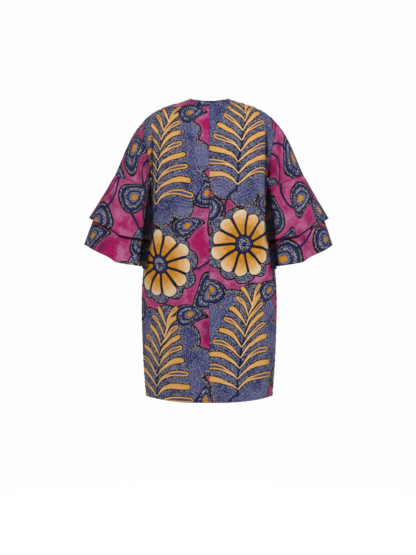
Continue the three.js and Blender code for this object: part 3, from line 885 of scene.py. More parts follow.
# %% [markdown]
# ### The scalloped ground, the daisy and the drop
# The ground under a frond is a ring of overlapping circles, which gives it a scalloped edge. The daisy's
# petals are wedges with round ends. The drop is an egg with a curled tip, and its bands follow its own shape,
# so they are read from one number that is 0 in its core and 1 at its edge.

# %% The scalloped ground, the daisy and the drop
FIRST_LOBE_AT = 0.3
# How much the sizes of scallops and petals vary, and the wave that gives each of them its own size.
LOBES_VARY = 0.16
LOBE_WAVE, LOBE_WAVE_START = 3.1, 0.7
PETALS = 11
PETALS_VARY = 0.05
PETAL_WAVE = 2.4
PETAL_ROUND = 0.9
PETAL_GAP = 0.0050
DAISY_RADIUS = 0.112
DAISY_CENTRE = 0.027
CENTRE_GAP = 0.004
DROP_TAPER = 0.42
DROP_NARROWEST = 0.2


def scalloped(x, y, wide, tall, count, lobe):
    """The distance from a blot with a scalloped edge."""
    best = (np.hypot(x / wide, y / tall) - 1) * min(wide, tall)
    for k in range(count):
        a = 2 * math.pi * (k + FIRST_LOBE_AT) / count
        radius = lobe * (1 + LOBES_VARY * math.sin(LOBE_WAVE * k + LOBE_WAVE_START))
        best = np.minimum(best, np.hypot(x - wide * math.cos(a), y - tall * math.sin(a)) - radius)
    return best


def daisy(x, y):
    """The distance from a daisy's petals, and how far out on them a point is."""
    r, a = np.hypot(x, y), np.arctan2(y, x)
    wedge = 2 * math.pi / PETALS
    number = np.floor(a / wedge + 0.5)
    a = a - number * wedge
    radius = DAISY_RADIUS * (1 + PETALS_VARY * np.sin(PETAL_WAVE * number))
    out, off = r * np.cos(a), np.abs(r * np.sin(a))
    tip = radius * math.sin(wedge / 2) * PETAL_ROUND
    sides = (off - (out * math.tan(wedge / 2) - PETAL_GAP)) * math.cos(wedge / 2)
    end = np.hypot(np.maximum(out - (radius - tip), 0), off) - (tip - PETAL_GAP * 0.6)
    petal = np.where(out > radius - tip, np.maximum(end, sides), sides)
    return np.maximum(petal, DAISY_CENTRE + CENTRE_GAP - r), np.clip(r / DAISY_RADIUS, 0, 1)


def drop(x, y, wide, tall, curl):
    """0 in the core of a curled drop, 1 at its edge."""
    t = y / tall
    half = np.maximum(wide * (1 - DROP_TAPER * np.clip(t, -1, 1)), DROP_NARROWEST * wide)
    return np.hypot((x - curl * np.clip(t, 0, 2) ** 2 * wide) / half, t)


print("a daisy has", PETALS, "petals and is", 2 * DAISY_RADIUS, "m wide")

# %% [markdown]
# ### Setting the repeat
# One repeat holds a frond on its ground with a daisy below it. The drops and the stems run in the strip
# between two columns. All places are written from the repeat's middle, in metres.

# %% Setting the repeat
FROND_AT = (0.0, 0.165)
DAISY_AT = (0.0, -0.170)
# Drops: middle, half width, half height, degrees turned, curl.
DROPS = [
    ((0.204, -0.020), 0.036, 0.055, 24, 0.5),
    ((0.282, -0.118), 0.034, 0.050, -32, -0.5),
    ((0.176, -0.262), 0.040, 0.058, 150, 0.4),
    ((0.308, 0.044), 0.032, 0.047, 160, -0.4),
    ((0.240, 0.168), 0.034, 0.053, -12, 0.5),
    ((-0.128, -0.048), 0.031, 0.047, 62, 0.5),
    ((0.098, -0.036), 0.027, 0.040, -55, 0.5),
    ((0.105, -0.330), 0.028, 0.042, -70, 0.5),
    ((-0.110, -0.318), 0.030, 0.044, 40, -0.4),
    ((0.160, 0.070), 0.027, 0.040, -20, -0.5),
]
# Stems: start, middle and end of the curve.
STEMS = [
    ((0.118, -0.180), (0.190, -0.170), (0.196, -0.068)),
    ((0.196, -0.068), (0.230, -0.200), (0.184, -0.212)),
    ((0.300, 0.010), (0.220, 0.030), (0.232, 0.122)),
    ((-0.022, 0.018), (-0.080, -0.020), (-0.060, -0.070)),
    ((0.270, -0.156), (0.320, -0.230), (0.420, -0.240)),
]
print("one repeat holds", len(DROPS), "drops and", len(STEMS), "stems")

# %% [markdown]
# ### Laying fronds and daisies
# Each motif is laid on the points that are near it. A point keeps the distance of the nearest motif of each
# kind, and gold also keeps its shade and whether it is hollow.

# %% Laying fronds and daisies
# A ground: half width, half height, number of scallops, and the radius of a scallop.
FROND_GROUND = (0.130, 0.162, 11, 0.050)
DAISY_GROUND = (0.096, 0.096, PETALS, 0.034)
# The shade of a leaflet from its foot to its tip, and where a petal's shade begins and is full.
LEAFLET_SHADES = (0.75, 0.30)
PETAL_SHADE_FADES = (0.42, 1.06)
DAISY_RAYS = 0.86
CENTRE_RING = 0.46
FROND_REACH = 0.24
DAISY_REACH = 0.20


def lay(marks, kind, near, distance):
    """Keeps the smaller of the stored distance and a new one, at the points near a motif."""
    marks[kind][near] = np.minimum(marks[kind][near], distance)


def lay_gold(marks, near, distance, shade, hollow):
    """Lays a gold shape, with its shade and whether it is hollow, where it is the nearest one."""
    nearest = distance < marks["gold"][near]
    marks["shade"][near] = np.where(nearest, shade, marks["shade"][near])
    marks["hollow"][near] = np.where(nearest, hollow, marks["hollow"][near])
    lay(marks, "gold", near, distance)


def lay_fronds_and_daisies(marks, u, v):
    """Lays all that stands in the columns of the repeat."""
    for near, x, y in repeats(u, v, FROND_AT, FROND_REACH):
        lay(marks, "slate", near, scalloped(x, y, *FROND_GROUND))
        leaflets, share, hollow, rib = frond(x, y)
        lay_gold(marks, near, leaflets, mix(*LEAFLET_SHADES, share), hollow)
        lay(marks, "stem", near, rib)
    for near, x, y in repeats(u, v, DAISY_AT, DAISY_REACH):
        lay(marks, "slate", near, scalloped(x, y, *DAISY_GROUND))
        petals, share = daisy(x, y)
        lay_gold(marks, near, petals, fade(*PETAL_SHADE_FADES, share), 0)
        lay(marks, "stem", near, np.hypot(x, y) - DAISY_RADIUS * DAISY_RAYS)
        lay(marks, "ring", near, mix(CENTRE_RING, 1, np.hypot(x, y) / DAISY_CENTRE))


print("the ground of a frond has", FROND_GROUND[2], "scallops")

# %% [markdown]
# ### The whole print
# Drops and stems are laid in the same way. A hand-cut block never prints quite straight, so slow waves bend
# the cloth's coordinates a little before any motif is laid.

# %% The whole print
NO_MOTIF = 0.05
NO_RING = 3.0
DROP_RIM = 1.25
DROP_REACH = 0.10
STEM_HALF = 0.0040
STEM_STEPS = 6
STEM_REACH = 0.24
# Waves that bend the print: how far, and their turn in radians for each metre across and up the cloth.
WAVES_ACROSS = [(0.0022, 17, 61), (0.0010, 173, 0)]
WAVES_UP = [(0.0022, 53, -23)]


def lay_drops_and_stems(marks, u, v):
    """Lays all that runs between two columns."""
    for place, wide, tall, turn, curl in DROPS:
        for near, x, y in repeats(u, v, place, DROP_REACH):
            x, y = turned(x, y, turn)
            ring = drop(x, y, wide, tall, curl)
            lay(marks, "ring", near, ring)
            lay(marks, "slate", near, (ring - DROP_RIM) * wide)
    for stem in STEMS:
        path = curve(*np.subtract(stem, stem[0]), STEM_STEPS)
        for near, x, y in repeats(u, v, stem[0], STEM_REACH):
            distance, _ = stroke(x, y, path, [STEM_HALF] * len(path))
            lay(marks, "stem", near, distance)


def bent(u, v, waves):
    """How far the slow waves of a hand-cut block move the print."""
    return sum(far * np.sin(across * u + up * v) for far, across, up in waves)


def draw_print(u, v):
    """The numbers that hold the print at each point of a net."""
    u, v = u + bent(u, v, WAVES_ACROSS), v + bent(u, v, WAVES_UP)
    empty = {"slate": NO_MOTIF, "gold": NO_MOTIF, "shade": 0, "hollow": 0, "ring": NO_RING, "stem": NO_MOTIF}
    marks = {kind: np.full(u.shape, float(value)) for kind, value in empty.items()}
    lay_fronds_and_daisies(marks, u, v)
    lay_drops_and_stems(marks, u, v)
    return marks


sample = draw_print(*np.meshgrid(np.linspace(0, REPEAT_WIDTH, 120), np.linspace(0, REPEAT_HEIGHT, 160)))
print("of one repeat,", round(float((sample["slate"] < 0).mean()) * 100), "% is slate ground")

# %% [markdown]
# ### Cutting the pieces from the bolt
# Each piece is opened flat, turned, and put at its own place of the bolt. A body panel is nearly flat
# already. A flounce opens into part of a ring, so its points are placed by an angle and a radius, and the
# line behind the arm is the one that comes to its place on the bolt.

# %% Cutting the pieces from the bolt
# Where each piece is cut from the bolt: across, up, and degrees turned. The place is that of centre back at
# the hem for a back, of the front edge at the hem for a front, and of the line behind the arm at the upper
# edge for a sleeve or a flounce.
CUTS = {
    "back_left": (0.170, 0.060, 0),
    "back_right": (0.385, 0.330, 0),
    "front_left": (0.640, 0.190, 0),
    "front_right": (0.190, 0.510, 0),
    "sleeve_left": (0.200, 0.050, -40),
    "sleeve_right": (0.200, 0.550, 40),
    "upper_flounce_left": (0.250, 0.600, -15),
    "upper_flounce_right": (0.250, 0.100, -15),
    "lower_flounce_left": (0.200, 0.400, -40),
    "lower_flounce_right": (0.050, 0.650, -40),
}
# How far round a tube, from the underarm over the arm, the line behind the arm is.
BEHIND_THE_ARM = 0.75


def opened_flat(piece):
    """The places of a piece's points on the flat cloth, as seen from its printed side."""
    over, up = piece["edge"]["over"], piece["edge"]["up"]
    if not piece["tube"]:
        return over * (-piece["side"] if piece["kind"] == "back" else piece["side"]), up
    round_it = over[:, -1:]
    flare = float(round_it[-1, 0] - round_it[0, 0]) / float(up[-1].mean())
    radius = float(round_it[0, 0]) / flare
    turn = (over / round_it - BEHIND_THE_ARM) * flare * piece["side"]
    return (radius + up) * np.sin(turn), radius - (radius + up) * np.cos(turn)


for name, piece in pieces.items():
    across, up = opened_flat(piece)
    u, v = turned(across, up, CUTS[name][2])
    piece["cloth"] = np.stack([u + CUTS[name][0], v + CUTS[name][1]], axis=-1)
    piece["print"] = draw_print(piece["cloth"][..., 0], piece["cloth"][..., 1])
    # With the print's numbers go two more: the distance from the nearest edge, which places painted shade
    # along the seams and hems, and the painted shade of folds, beside the body and under an upper hem.
    piece["print"]["edge"] = np.minimum.reduce([piece["edge"][edge] for edge in EDGES])
    piece["print"]["fold"] = piece["fold"]
    print(name, "is", round(float((piece["print"]["gold"] < 0).mean()) * 100), "% gold")

# %% [markdown]
# ## Colours and finishes
# The material reads the stored numbers and lays the colours over each other as a printer does: the magenta
# ground first, then slate, outlines, gold and the bands of the drops. Over them come pale wear and, last,
# painted shade in the ink colour along the seams and hems and in the folds. Stipple, crackle and mottling are
# fine textures on the cloth's own coordinates, in metres, so they don't stretch. Adding nodes one by one is
# long-winded, so a few helpers give a node and its links in one line.

# %% Helpers for materials
def colour(code):
    """A colour written as six hex digits, as the light values that the renderer uses."""
    parts = [int(code[i : i + 2], 16) / 255 for i in (0, 2, 4)]
    return [p / 12.92 if p <= 0.04045 else ((p + 0.055) / 1.055) ** 2.4 for p in parts] + [1]


def fill(tree, socket, value):
    """Links a socket to another one, or sets it to a value."""
    if isinstance(value, bpy.types.NodeSocket):
        tree.links.new(value, socket)
    elif value is not None:
        socket.default_value = value


def add_node(tree, kind, *values, output=0, **settings):
    """Adds a node, fills its inputs in their order from sockets or values, and gives one of its outputs."""
    node = tree.nodes.new(kind)
    for name, value in settings.items():
        setattr(node, name, value)
    for socket, value in zip(node.inputs, values):
        fill(tree, socket, value)
    return node.outputs[output]


def reckon(tree, operation, *values):
    """A Math node."""
    return add_node(tree, "ShaderNodeMath", *values, operation=operation)


def between(tree, value, start, end, low=0.0, high=1.0):
    """A smooth change from low at start to high at end."""
    kept = {"interpolation_type": "SMOOTHSTEP"}
    return add_node(tree, "ShaderNodeMapRange", value, start, end, low, high, **kept)


def inside(tree, distance, edge, soft=0.0005):
    """1 where a stored distance is under an edge, 0 where it is over."""
    return between(tree, distance, edge + soft, edge - soft)


def paint(tree, under, over, mask):
    """Lays one colour over another through a mask."""
    node = tree.nodes.new("ShaderNodeMix")
    node.data_type = "RGBA"
    sockets = {socket.identifier: socket for socket in [*node.inputs, *node.outputs]}
    fill(tree, sockets["Factor_Float"], mask)
    fill(tree, sockets["A_Color"], under)
    fill(tree, sockets["B_Color"], over)
    return sockets["Result_Color"]


print("a mid grey is", round(colour("808080")[0], 3), "as light")

# %% [markdown]
# ### Reading the cloth
# Every texture starts from the place on the flat cloth, and the print starts from the numbers stored on it.
# Noise makes clouds, and Voronoi cells make dots and cracks. Both are given in pieces to the metre.

# %% Reading the cloth
def stored(tree, name):
    """A number stored on the piece."""
    return add_node(tree, "ShaderNodeAttribute", attribute_name=name, output=2)


def cloth_place(tree):
    """The place on the cloth, in metres."""
    return add_node(tree, "ShaderNodeUVMap", uv_map="cloth")


def noise(tree, place, scale, detail=2.0, rough=0.5):
    """Cloudy noise, with so many clouds in a metre."""
    return add_node(tree, "ShaderNodeTexNoise", place, None, scale, detail, rough)


def clouds(tree, place, scale, start, end, strength=1.0, detail=2.0, rough=0.5):
    """A mask of soft clouds: 0 where the noise is under start, and full strength where it is past end."""
    return between(tree, noise(tree, place, scale, detail, rough), start, end, 0.0, strength)


def cells(tree, place, scale, feature="F1"):
    """The distance in a net of random cells, with so many cells in a metre."""
    return add_node(tree, "ShaderNodeTexVoronoi", place, None, scale, feature=feature)


print("stored numbers:", ", ".join(pieces["back_left"]["print"]))

# %% [markdown]
# ### The weave
# Plain weave is two sets of threads at right angles. Two fine sine waves multiplied give its small bumps, and
# a slower noise gives the slight wrinkles that pressed cotton keeps.

# %% The weave
THREADS_PER_METRE = 1500
THREAD_HEIGHT = 0.00004
# Wrinkles: how many to the metre, and the detail and the roughness of their noise.
WRINKLES = (38.0, 3.0, 0.55)
WRINKLE_HEIGHT = 0.0016
WEAVE_STRENGTH = 0.55
COTTON = {"Roughness": 0.78, "Specular IOR Level": 0.15, "Sheen Weight": 0.02, "Sheen Roughness": 0.5}


def bump_from(tree, height, strength, distance):
    """The normal of a surface that has a height in metres."""
    bump = tree.nodes.new("ShaderNodeBump")
    bump.inputs["Strength"].default_value = strength
    bump.inputs["Distance"].default_value = distance
    tree.links.new(height, bump.inputs["Height"])
    return bump.outputs[0]


def weave_bump(tree, place):
    """The normal of plain-woven cotton."""
    split = tree.nodes.new("ShaderNodeSeparateXYZ")
    tree.links.new(place, split.inputs[0])
    warp, weft = (
        reckon(tree, "SINE", reckon(tree, "MULTIPLY", split.outputs[k], math.pi * THREADS_PER_METRE))
        for k in (0, 1)
    )
    threads = reckon(tree, "MULTIPLY", warp, weft)
    wrinkles = reckon(tree, "MULTIPLY", noise(tree, place, *WRINKLES), WRINKLE_HEIGHT)
    height = reckon(tree, "MULTIPLY_ADD", threads, THREAD_HEIGHT, wrinkles)
    return bump_from(tree, height, WEAVE_STRENGTH, 1.0)


def cotton(name, base):
    """A cotton material. base is a function that makes the colour from the tree and the place."""
    material = bpy.data.materials.new(name)
    material.use_nodes = True
    tree = material.node_tree
    shader = tree.nodes["Principled BSDF"]
    place = cloth_place(tree)
    tree.links.new(base(tree, place), shader.inputs["Base Color"])
    tree.links.new(weave_bump(tree, place), shader.inputs["Normal"])
    for finish, value in COTTON.items():
        shader.inputs[finish].default_value = value
    return material


print("the cloth has", THREADS_PER_METRE // 100, "threads a centimetre each way")

# %% [markdown]
# ### The dyes
# A wax print has few dyes, and each is used light and dark. They are written as hex codes, the way that a
# printer notes them, and turned into the linear values that a renderer mixes.

# %% The dyes
MAGENTA = colour("BC0263")
DEEP_MAGENTA = colour("7A0444")
PINK = colour("D66FAC")
PALE_PINK = colour("F0B8DE")
SLATE = colour("666A9C")
INDIGO = colour("363C7C")
NAVY = colour("253072")
INK = colour("120E17")
AMBER = colour("E4981F")
GOLD = colour("FDBF6E")
CREAM = colour("FFEBC8")
PALE = colour("D8D2D0")
GREY = colour("8B8998")
DARK_GREY = colour("2F2D42")
# Bands of a drop, from its core: where the band ends, its colour, and the colour of its dots.
DROP_BANDS = [
    (0.26, AMBER, None),
    (0.46, GREY, INK),
    (0.63, NAVY, None),
    (0.86, DARK_GREY, PALE),
    (1.00, NAVY, None),
]
print("a drop has", len(DROP_BANDS), "bands")

# %% [markdown]
# ### The grounds
# Magenta is mottled with pink, most of all beside the slate, and has the fine light crackle of wax that broke
# in the dye bath. Slate is stippled with pale dots, which lie close along its edges.

# %% The grounds
DOTS_PER_METRE = 290.0
CRACKS_PER_METRE = 190.0
# Clouds: how many to the metre, the noise at which they begin and are full, and their strength.
DEEPER_CLOUDS = {"scale": 8.0, "start": 0.48, "end": 0.70, "strength": 0.85}
PINK_CLOUDS = {"scale": 13.0, "start": 0.44, "end": 0.68, "strength": 0.84, "detail": 4.0, "rough": 0.62}
SPECKLE = {"scale": 240.0, "start": 0.48, "end": 0.60, "strength": 0.66}
INDIGO_WASH = {"scale": 11.0, "start": 0.42, "end": 0.60}
# Along a distance: where a colour begins and where it is full, and its strength at each.
PINK_HALO = (0.018, 0.002, 0.0, 0.42)
CRACK = (0.10, 0.02, 0.0, 0.18)
RIPPLE = (-0.1, 0.5, 0.0, 0.62)
RIPPLES_END = (0.049, 0.030)
DARK_RIM = (-0.0140, -0.0080)
DARK_ECHO = (0.0090, 0.0056)
RIPPLE_PITCH = 0.0105
# Dots: how large they are in their cells, and their strength.
SLATE_DOTS = (0.31, 0.64)
BAND_DOTS = (0.43, 0.78)
DOT_SOFT = 0.08
BAND_STRENGTH = 0.85


def stippled(tree, place, under, over, size, strength=1.0):
    """One colour with small dots of another, like the marks of a wax stamp."""
    dots = inside(tree, cells(tree, place, DOTS_PER_METRE), size, DOT_SOFT)
    return paint(tree, under, over, reckon(tree, "MULTIPLY", dots, strength))


def magenta_ground(tree, place, slate):
    """Magenta with deeper clouds, fine light crackle, and a pink halo beside the slate."""
    base = paint(tree, MAGENTA, DEEP_MAGENTA, clouds(tree, place, **DEEPER_CLOUDS))
    pink = clouds(tree, place, **PINK_CLOUDS)
    halo = between(tree, slate, *PINK_HALO)
    base = paint(tree, base, PINK, reckon(tree, "MAXIMUM", pink, halo))
    cracks = cells(tree, place, CRACKS_PER_METRE, "DISTANCE_TO_EDGE")
    base = paint(tree, base, PINK, between(tree, cracks, *CRACK))
    speckle = clouds(tree, place, **SPECKLE)
    return paint(tree, base, PALE_PINK, reckon(tree, "MULTIPLY", speckle, pink))


def slate_ground(tree, place, slate, gold):
    """Slate with washes of indigo, ripples round the gold, and dark dotted bands along all edges."""
    base = paint(tree, SLATE, INDIGO, clouds(tree, place, **INDIGO_WASH))
    wave = reckon(tree, "SINE", reckon(tree, "MULTIPLY", gold, 2 * math.pi / RIPPLE_PITCH))
    near_gold = between(tree, gold, *RIPPLES_END)
    ripples = reckon(tree, "MULTIPLY", between(tree, wave, *RIPPLE), near_gold)
    base = stippled(tree, place, paint(tree, base, NAVY, ripples), PALE, *SLATE_DOTS)
    rim = between(tree, slate, *DARK_RIM)
    echo = between(tree, gold, *DARK_ECHO)
    band = stippled(tree, place, DARK_GREY, PALE, *BAND_DOTS)
    along_edges = reckon(tree, "MULTIPLY", reckon(tree, "MAXIMUM", rim, echo), BAND_STRENGTH)
    return paint(tree, base, band, along_edges)


print("dots are", round(1000 / DOTS_PER_METRE, 1), "mm apart")

# %% [markdown]
# ### Gold and the drops
# Gold runs from amber through gold to cream, with the streaks of a dye brush. A drop is painted from its
# widest band to its core, and two of its bands are dotted.

# %% Gold and the drops
# Streaks: how many to the metre, and the detail and the roughness of their noise.
STREAKS = (90.0, 3.0, 0.65)
STREAK_STRENGTH = 0.9
AMBER_TO_GOLD = (0.0, 0.42)
GOLD_TO_CREAM = (0.45, 1.0)
DROP_DOTS = 0.42
DROP_SOFT = 0.02


def gold_paint(tree, place, shade):
    """Amber, gold or cream, as the stored shade says, with the streaks of a dye brush."""
    streaks = noise(tree, place, *STREAKS)
    push = reckon(tree, "MULTIPLY_ADD", streaks, STREAK_STRENGTH, -STREAK_STRENGTH / 2)
    light = reckon(tree, "ADD", shade, push)
    painted = paint(tree, AMBER, GOLD, between(tree, light, *AMBER_TO_GOLD))
    return paint(tree, painted, CREAM, between(tree, light, *GOLD_TO_CREAM))


def drop_paint(tree, place, ring):
    """The bands of a drop, laid from the widest to its core."""
    painted = None
    for end, tone, dots in reversed(DROP_BANDS):
        band = stippled(tree, place, tone, dots, DROP_DOTS) if dots else tone
        painted = band if painted is None else paint(tree, painted, band, inside(tree, ring, end, DROP_SOFT))
    return painted


print("the outermost band of a drop begins at", DROP_BANDS[-2][0], "of its size")

# %% [markdown]
# ### The printed side and the plain side
# Now the colours are laid in their order. Painted shade goes on top at the end, in the ink colour: along the
# seams and hems, where the cloth dips, in the folds, beside the body and under an upper flounce's hem. The
# plain side is one quiet colour with paler flecks where a thread took less dye.

# %% The printed side and the plain side
SLATE_OUTLINE = 0.0020
GOLD_OUTLINE = 0.0028
LOOP_WIDTH = 0.0047
# How much ink is in the middle of a loop and in a stem.
LOOP_INK = 0.25
STEM_INK = 0.55
DROP_OUTLINE = 1.08
WEAR = {"scale": 5.0, "start": 0.35, "end": 0.75, "strength": 0.03, "detail": 3.0}
# Where a shadow begins and where it is full, and its strength at each.
SEAM_SHADOW = (0.0026, 0.0004, 0.0, 0.40)
FOLD_SHADOW = (0.12, 0.95, 0.0, 0.91)
PLAIN_DEEP = colour("2C3568")
PLAIN_LIGHT = colour("39437F")
PLAIN_FLECK = colour("59629A")
PLAIN_CLOUDS = {"scale": 22.0, "start": 0.35, "end": 0.7, "detail": 3.0}
FLECKS_PER_METRE = 500.0
FLECK_SIZE = 0.22
FLECK_STRENGTH = 0.35


def gold_over(tree, place, base, gold):
    """The gold shapes with their outline. A loop shows the slate through its middle."""
    loop_core = reckon(tree, "MULTIPLY", inside(tree, gold, -LOOP_WIDTH), stored(tree, "hollow"))
    leaf = reckon(tree, "SUBTRACT", inside(tree, gold, 0), loop_core)
    base = paint(tree, base, INK, inside(tree, gold, GOLD_OUTLINE))
    base = paint(tree, base, paint(tree, SLATE, INK, LOOP_INK), loop_core)
    return paint(tree, base, gold_paint(tree, place, stored(tree, "shade")), leaf)


def printed_colour_and_painted_shade(tree, place):
    """All the colours of the print, in the order in which they are laid, and painted shade over them."""
    slate, gold, ring, stem = (stored(tree, name) for name in ("slate", "gold", "ring", "stem"))
    magenta, slated = magenta_ground(tree, place, slate), slate_ground(tree, place, slate, gold)
    base = paint(tree, magenta, slated, inside(tree, slate, 0))
    base = paint(tree, base, INK, inside(tree, reckon(tree, "ABSOLUTE", slate), SLATE_OUTLINE))
    base = paint(tree, base, paint(tree, NAVY, INK, STEM_INK), inside(tree, stem, 0))
    base = gold_over(tree, place, base, gold)
    base = paint(tree, base, INK, inside(tree, ring, DROP_OUTLINE, DROP_SOFT))
    base = paint(tree, base, drop_paint(tree, place, ring), inside(tree, ring, 1.0, DROP_SOFT))
    base = paint(tree, base, PALE, clouds(tree, place, **WEAR))
    # Painted shade in the ink colour: a thin line along every seam and hem, and the stored shade of the
    # creases, of the place beside the body and of the cloth under an upper hem.
    seam_shadow = between(tree, stored(tree, "edge"), *SEAM_SHADOW)
    fold_shadow = between(tree, stored(tree, "fold"), *FOLD_SHADOW)
    return paint(tree, base, INK, reckon(tree, "MAXIMUM", seam_shadow, fold_shadow))


def plain_colour(tree, place):
    """Indigo in two close tones, with paler flecks."""
    base = paint(tree, PLAIN_DEEP, PLAIN_LIGHT, clouds(tree, place, **PLAIN_CLOUDS))
    flecks = inside(tree, cells(tree, place, FLECKS_PER_METRE), FLECK_SIZE, DOT_SOFT)
    return paint(tree, base, PLAIN_FLECK, reckon(tree, "MULTIPLY", flecks, FLECK_STRENGTH))


printed = cotton("printed_cotton", printed_colour_and_painted_shade)
plain = cotton("plain_indigo_cotton", plain_colour)
print("the printed side has", len(printed.node_tree.nodes), "nodes")

# %% [markdown]
# ## Making a sheet
# Every piece starts as a flat grid, one face for each mesh of the net. Its points are then laid on the net,
# and the place on the cloth, the print's numbers and the painted shade are stored on its face corners. A
# vertex group says how thick the cloth is: full at the open edges, where the seam allowances are turned in,
# and less in the field.

# %% From a grid to a net
FIELD_SHARE = 0.72
# How far from an open edge the turned-in allowance begins to thin out, and where it ends.
TURNED_IN = (0.006, 0.010)


def store_print_and_painted_shade(mesh, piece, i, j):
    """Stores the place on the cloth, the print's numbers and the painted shade on the mesh's face corners."""
    corner = np.zeros(len(mesh.loops), int)
    mesh.loops.foreach_get("vertex_index", corner)
    mesh.uv_layers[0].name = "cloth"
    mesh.uv_layers[0].data.foreach_set("uv", piece["cloth"][i, j][corner].ravel())
    for key, values in piece["print"].items():
        layer = mesh.attributes.new(key, "FLOAT", "CORNER")
        layer.data.foreach_set("value", values[i, j][corner].astype(np.float32))


def weigh_thickness(sheet, piece, i, j):
    """Makes a vertex group that is full at the open edges and FIELD_SHARE in the field."""
    thickness = sheet.vertex_groups.new(name="thickness")
    away = np.minimum.reduce([piece["edge"][edge] for edge in EDGES if edge not in piece["sewn"]])[i, j]
    weight = mix(1.0, FIELD_SHARE, fade(*TURNED_IN, away))
    for index, share in enumerate(weight):
        thickness.add([index], float(share), "REPLACE")


def lay_sheet(name, piece):
    """Makes one piece of the jacket as a flat grid and lays it on its net."""
    rows, columns = piece["net"].shape[:2]
    bpy.ops.object.select_all(action="DESELECT")
    bpy.ops.mesh.primitive_grid_add(x_subdivisions=columns - 1, y_subdivisions=rows - 1, size=2)
    sheet = bpy.context.object
    sheet.name = sheet.data.name = name + "_cloth"
    flat = np.array([vertex.co[:] for vertex in sheet.data.vertices])
    j = np.rint((flat[:, 0] + 1) / 2 * (columns - 1)).astype(int)
    i = np.rint((flat[:, 1] + 1) / 2 * (rows - 1)).astype(int)
    sheet.data.vertices.foreach_set("co", piece["net"][i, j].ravel())
    store_print_and_painted_shade(sheet.data, piece, i, j)
    weigh_thickness(sheet, piece, i, j)
    sheet.data.update()
    return sheet


print("an allowance ends", TURNED_IN[1] * 1000, "mm from an open edge")

# %% [markdown]
# ### From a net to two plies
# A sleeve's grid is closed into a tube by merging the two edges that meet under the arm. Solidify makes a
# shell as thick as two plies, with the printed cotton outside and the plain one inside.

# %% From a net to two plies
CLOTH = 0.0015
MERGE_WITHIN = 0.00001


def finish_sheet(sheet, piece):
    """Closes a tube, turns the faces out, and gives the cloth its thickness and its two sides."""
    bpy.ops.object.mode_set(mode="EDIT")
    bpy.ops.mesh.select_all(action="SELECT")
    if piece["tube"]:
        bpy.ops.mesh.remove_doubles(threshold=MERGE_WITHIN)
    if piece["turn"] > 0:
        bpy.ops.mesh.flip_normals()
    bpy.ops.object.mode_set(mode="OBJECT")
    bpy.ops.object.shade_smooth()
    sheet.data.materials.append(printed)
    sheet.data.materials.append(plain)
    shell = sheet.modifiers.new("two_plies", "SOLIDIFY")
    shell.thickness = CLOTH
    shell.offset = 0
    shell.vertex_group = "thickness"
    shell.material_offset = 1
    bpy.ops.object.modifier_apply(modifier=shell.name)


for name, piece in pieces.items():
    sheet = lay_sheet(name, piece)
    finish_sheet(sheet, piece)
    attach(sheet, "root")
    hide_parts(name)

# %% [markdown]
# ## The cut
# The panels are nearly straight. A flounce opens out flat into part of a ring. This cell only reads each
# piece's edge distances.


for name, piece in pieces.items():
    edge = piece["edge"]

# %% [markdown]
# ## Topstitching
# The turned-in edges are held by a row of machine stitches. At a normal distance they only show as a fine
# line, but close by each stitch is a short bead of thread that dips into the cloth at both ends. One bead is
# modelled, and copies of it are set along a line at a fixed distance from each open edge. Each line is one
# mesh. A dark thread is usual on a print like this, because it goes with the outlines.

# %% One stitch
STITCH_PITCH = 0.0040
STITCH_HALF_SIZES = (0.0016, 0.00042, 0.00036)

bpy.ops.object.select_all(action="DESELECT")
bpy.ops.mesh.primitive_uv_sphere_add(segments=6, ring_count=5, radius=1, rotation=(0, math.pi / 2, 0))
bead = bpy.context.object
bpy.ops.object.transform_apply(rotation=True)
bpy.ops.transform.resize(value=STITCH_HALF_SIZES)
bpy.ops.object.transform_apply(scale=True)
bead_points = np.array([v.co[:] for v in bead.data.vertices])
bead_faces = [list(face.vertices) for face in bead.data.polygons]
bead_marks = np.array([mark.uv[:] for mark in bead.data.uv_layers[0].data])
bpy.data.objects.remove(bead)
print("a stitch has", len(bead_faces), "faces and is", 2000 * STITCH_HALF_SIZES[0], "mm long")

# %% [markdown]
# ### The line of a row of stitches
# The net knows how far each of its points lies from each edge, so the line of a row of stitches is where that
# distance has one value. It is found in every column, or in every row for an upright edge. The stitches are
# then set along it at one pitch, each turned to run with the line and to lie on the cloth.

# %% Lines and rows of stitches
STITCH_FROM_EDGE = 0.008
STITCH_LIFT = 0.00075


def stitch_line(piece, edge):
    """Points on a piece at the stitching distance from an edge, and the outward direction at each."""
    away = piece["edge"][edge]
    net = piece["net"]
    normal = net_normals(net, piece["tube"], piece["turn"])
    if edge.endswith("column"):
        away, net, normal = away.T, net.swapaxes(0, 1), normal.swapaxes(0, 1)
    if edge.startswith("last"):
        away, net, normal = away[::-1], net[::-1], normal[::-1]
    columns = np.arange(away.shape[1])
    after = np.argmax(away >= STITCH_FROM_EDGE, axis=0)
    share = (STITCH_FROM_EDGE - away[after - 1, columns]) / (away[after, columns] - away[after - 1, columns])
    share = share[:, None]
    points = mix(net[after - 1, columns], net[after, columns], share)
    return points, mix(normal[after - 1, columns], normal[after, columns], share)


def set_stitches(points, normals):
    """Corner points of the stitches along a line."""
    run = np.concatenate([[0], np.cumsum(np.linalg.norm(np.diff(points, axis=0), axis=1))])
    at = np.arange(STITCH_PITCH, run[-1] - STITCH_PITCH / 2, STITCH_PITCH)
    place, ahead, out = (
        np.stack([np.interp(at + shift, run, values[:, k]) for k in range(3)], axis=-1)
        for shift, values in ((0, points), (STITCH_PITCH / 4, points), (0, normals))
    )
    out = out / np.linalg.norm(out, axis=1, keepdims=True)
    line = ahead - place
    line = line - out * np.sum(line * out, axis=1, keepdims=True)
    line = line / np.linalg.norm(line, axis=1, keepdims=True)
    sides = np.stack([line, np.cross(out, line), out], axis=1)
    return (place + out * STITCH_LIFT)[:, None] + bead_points @ sides


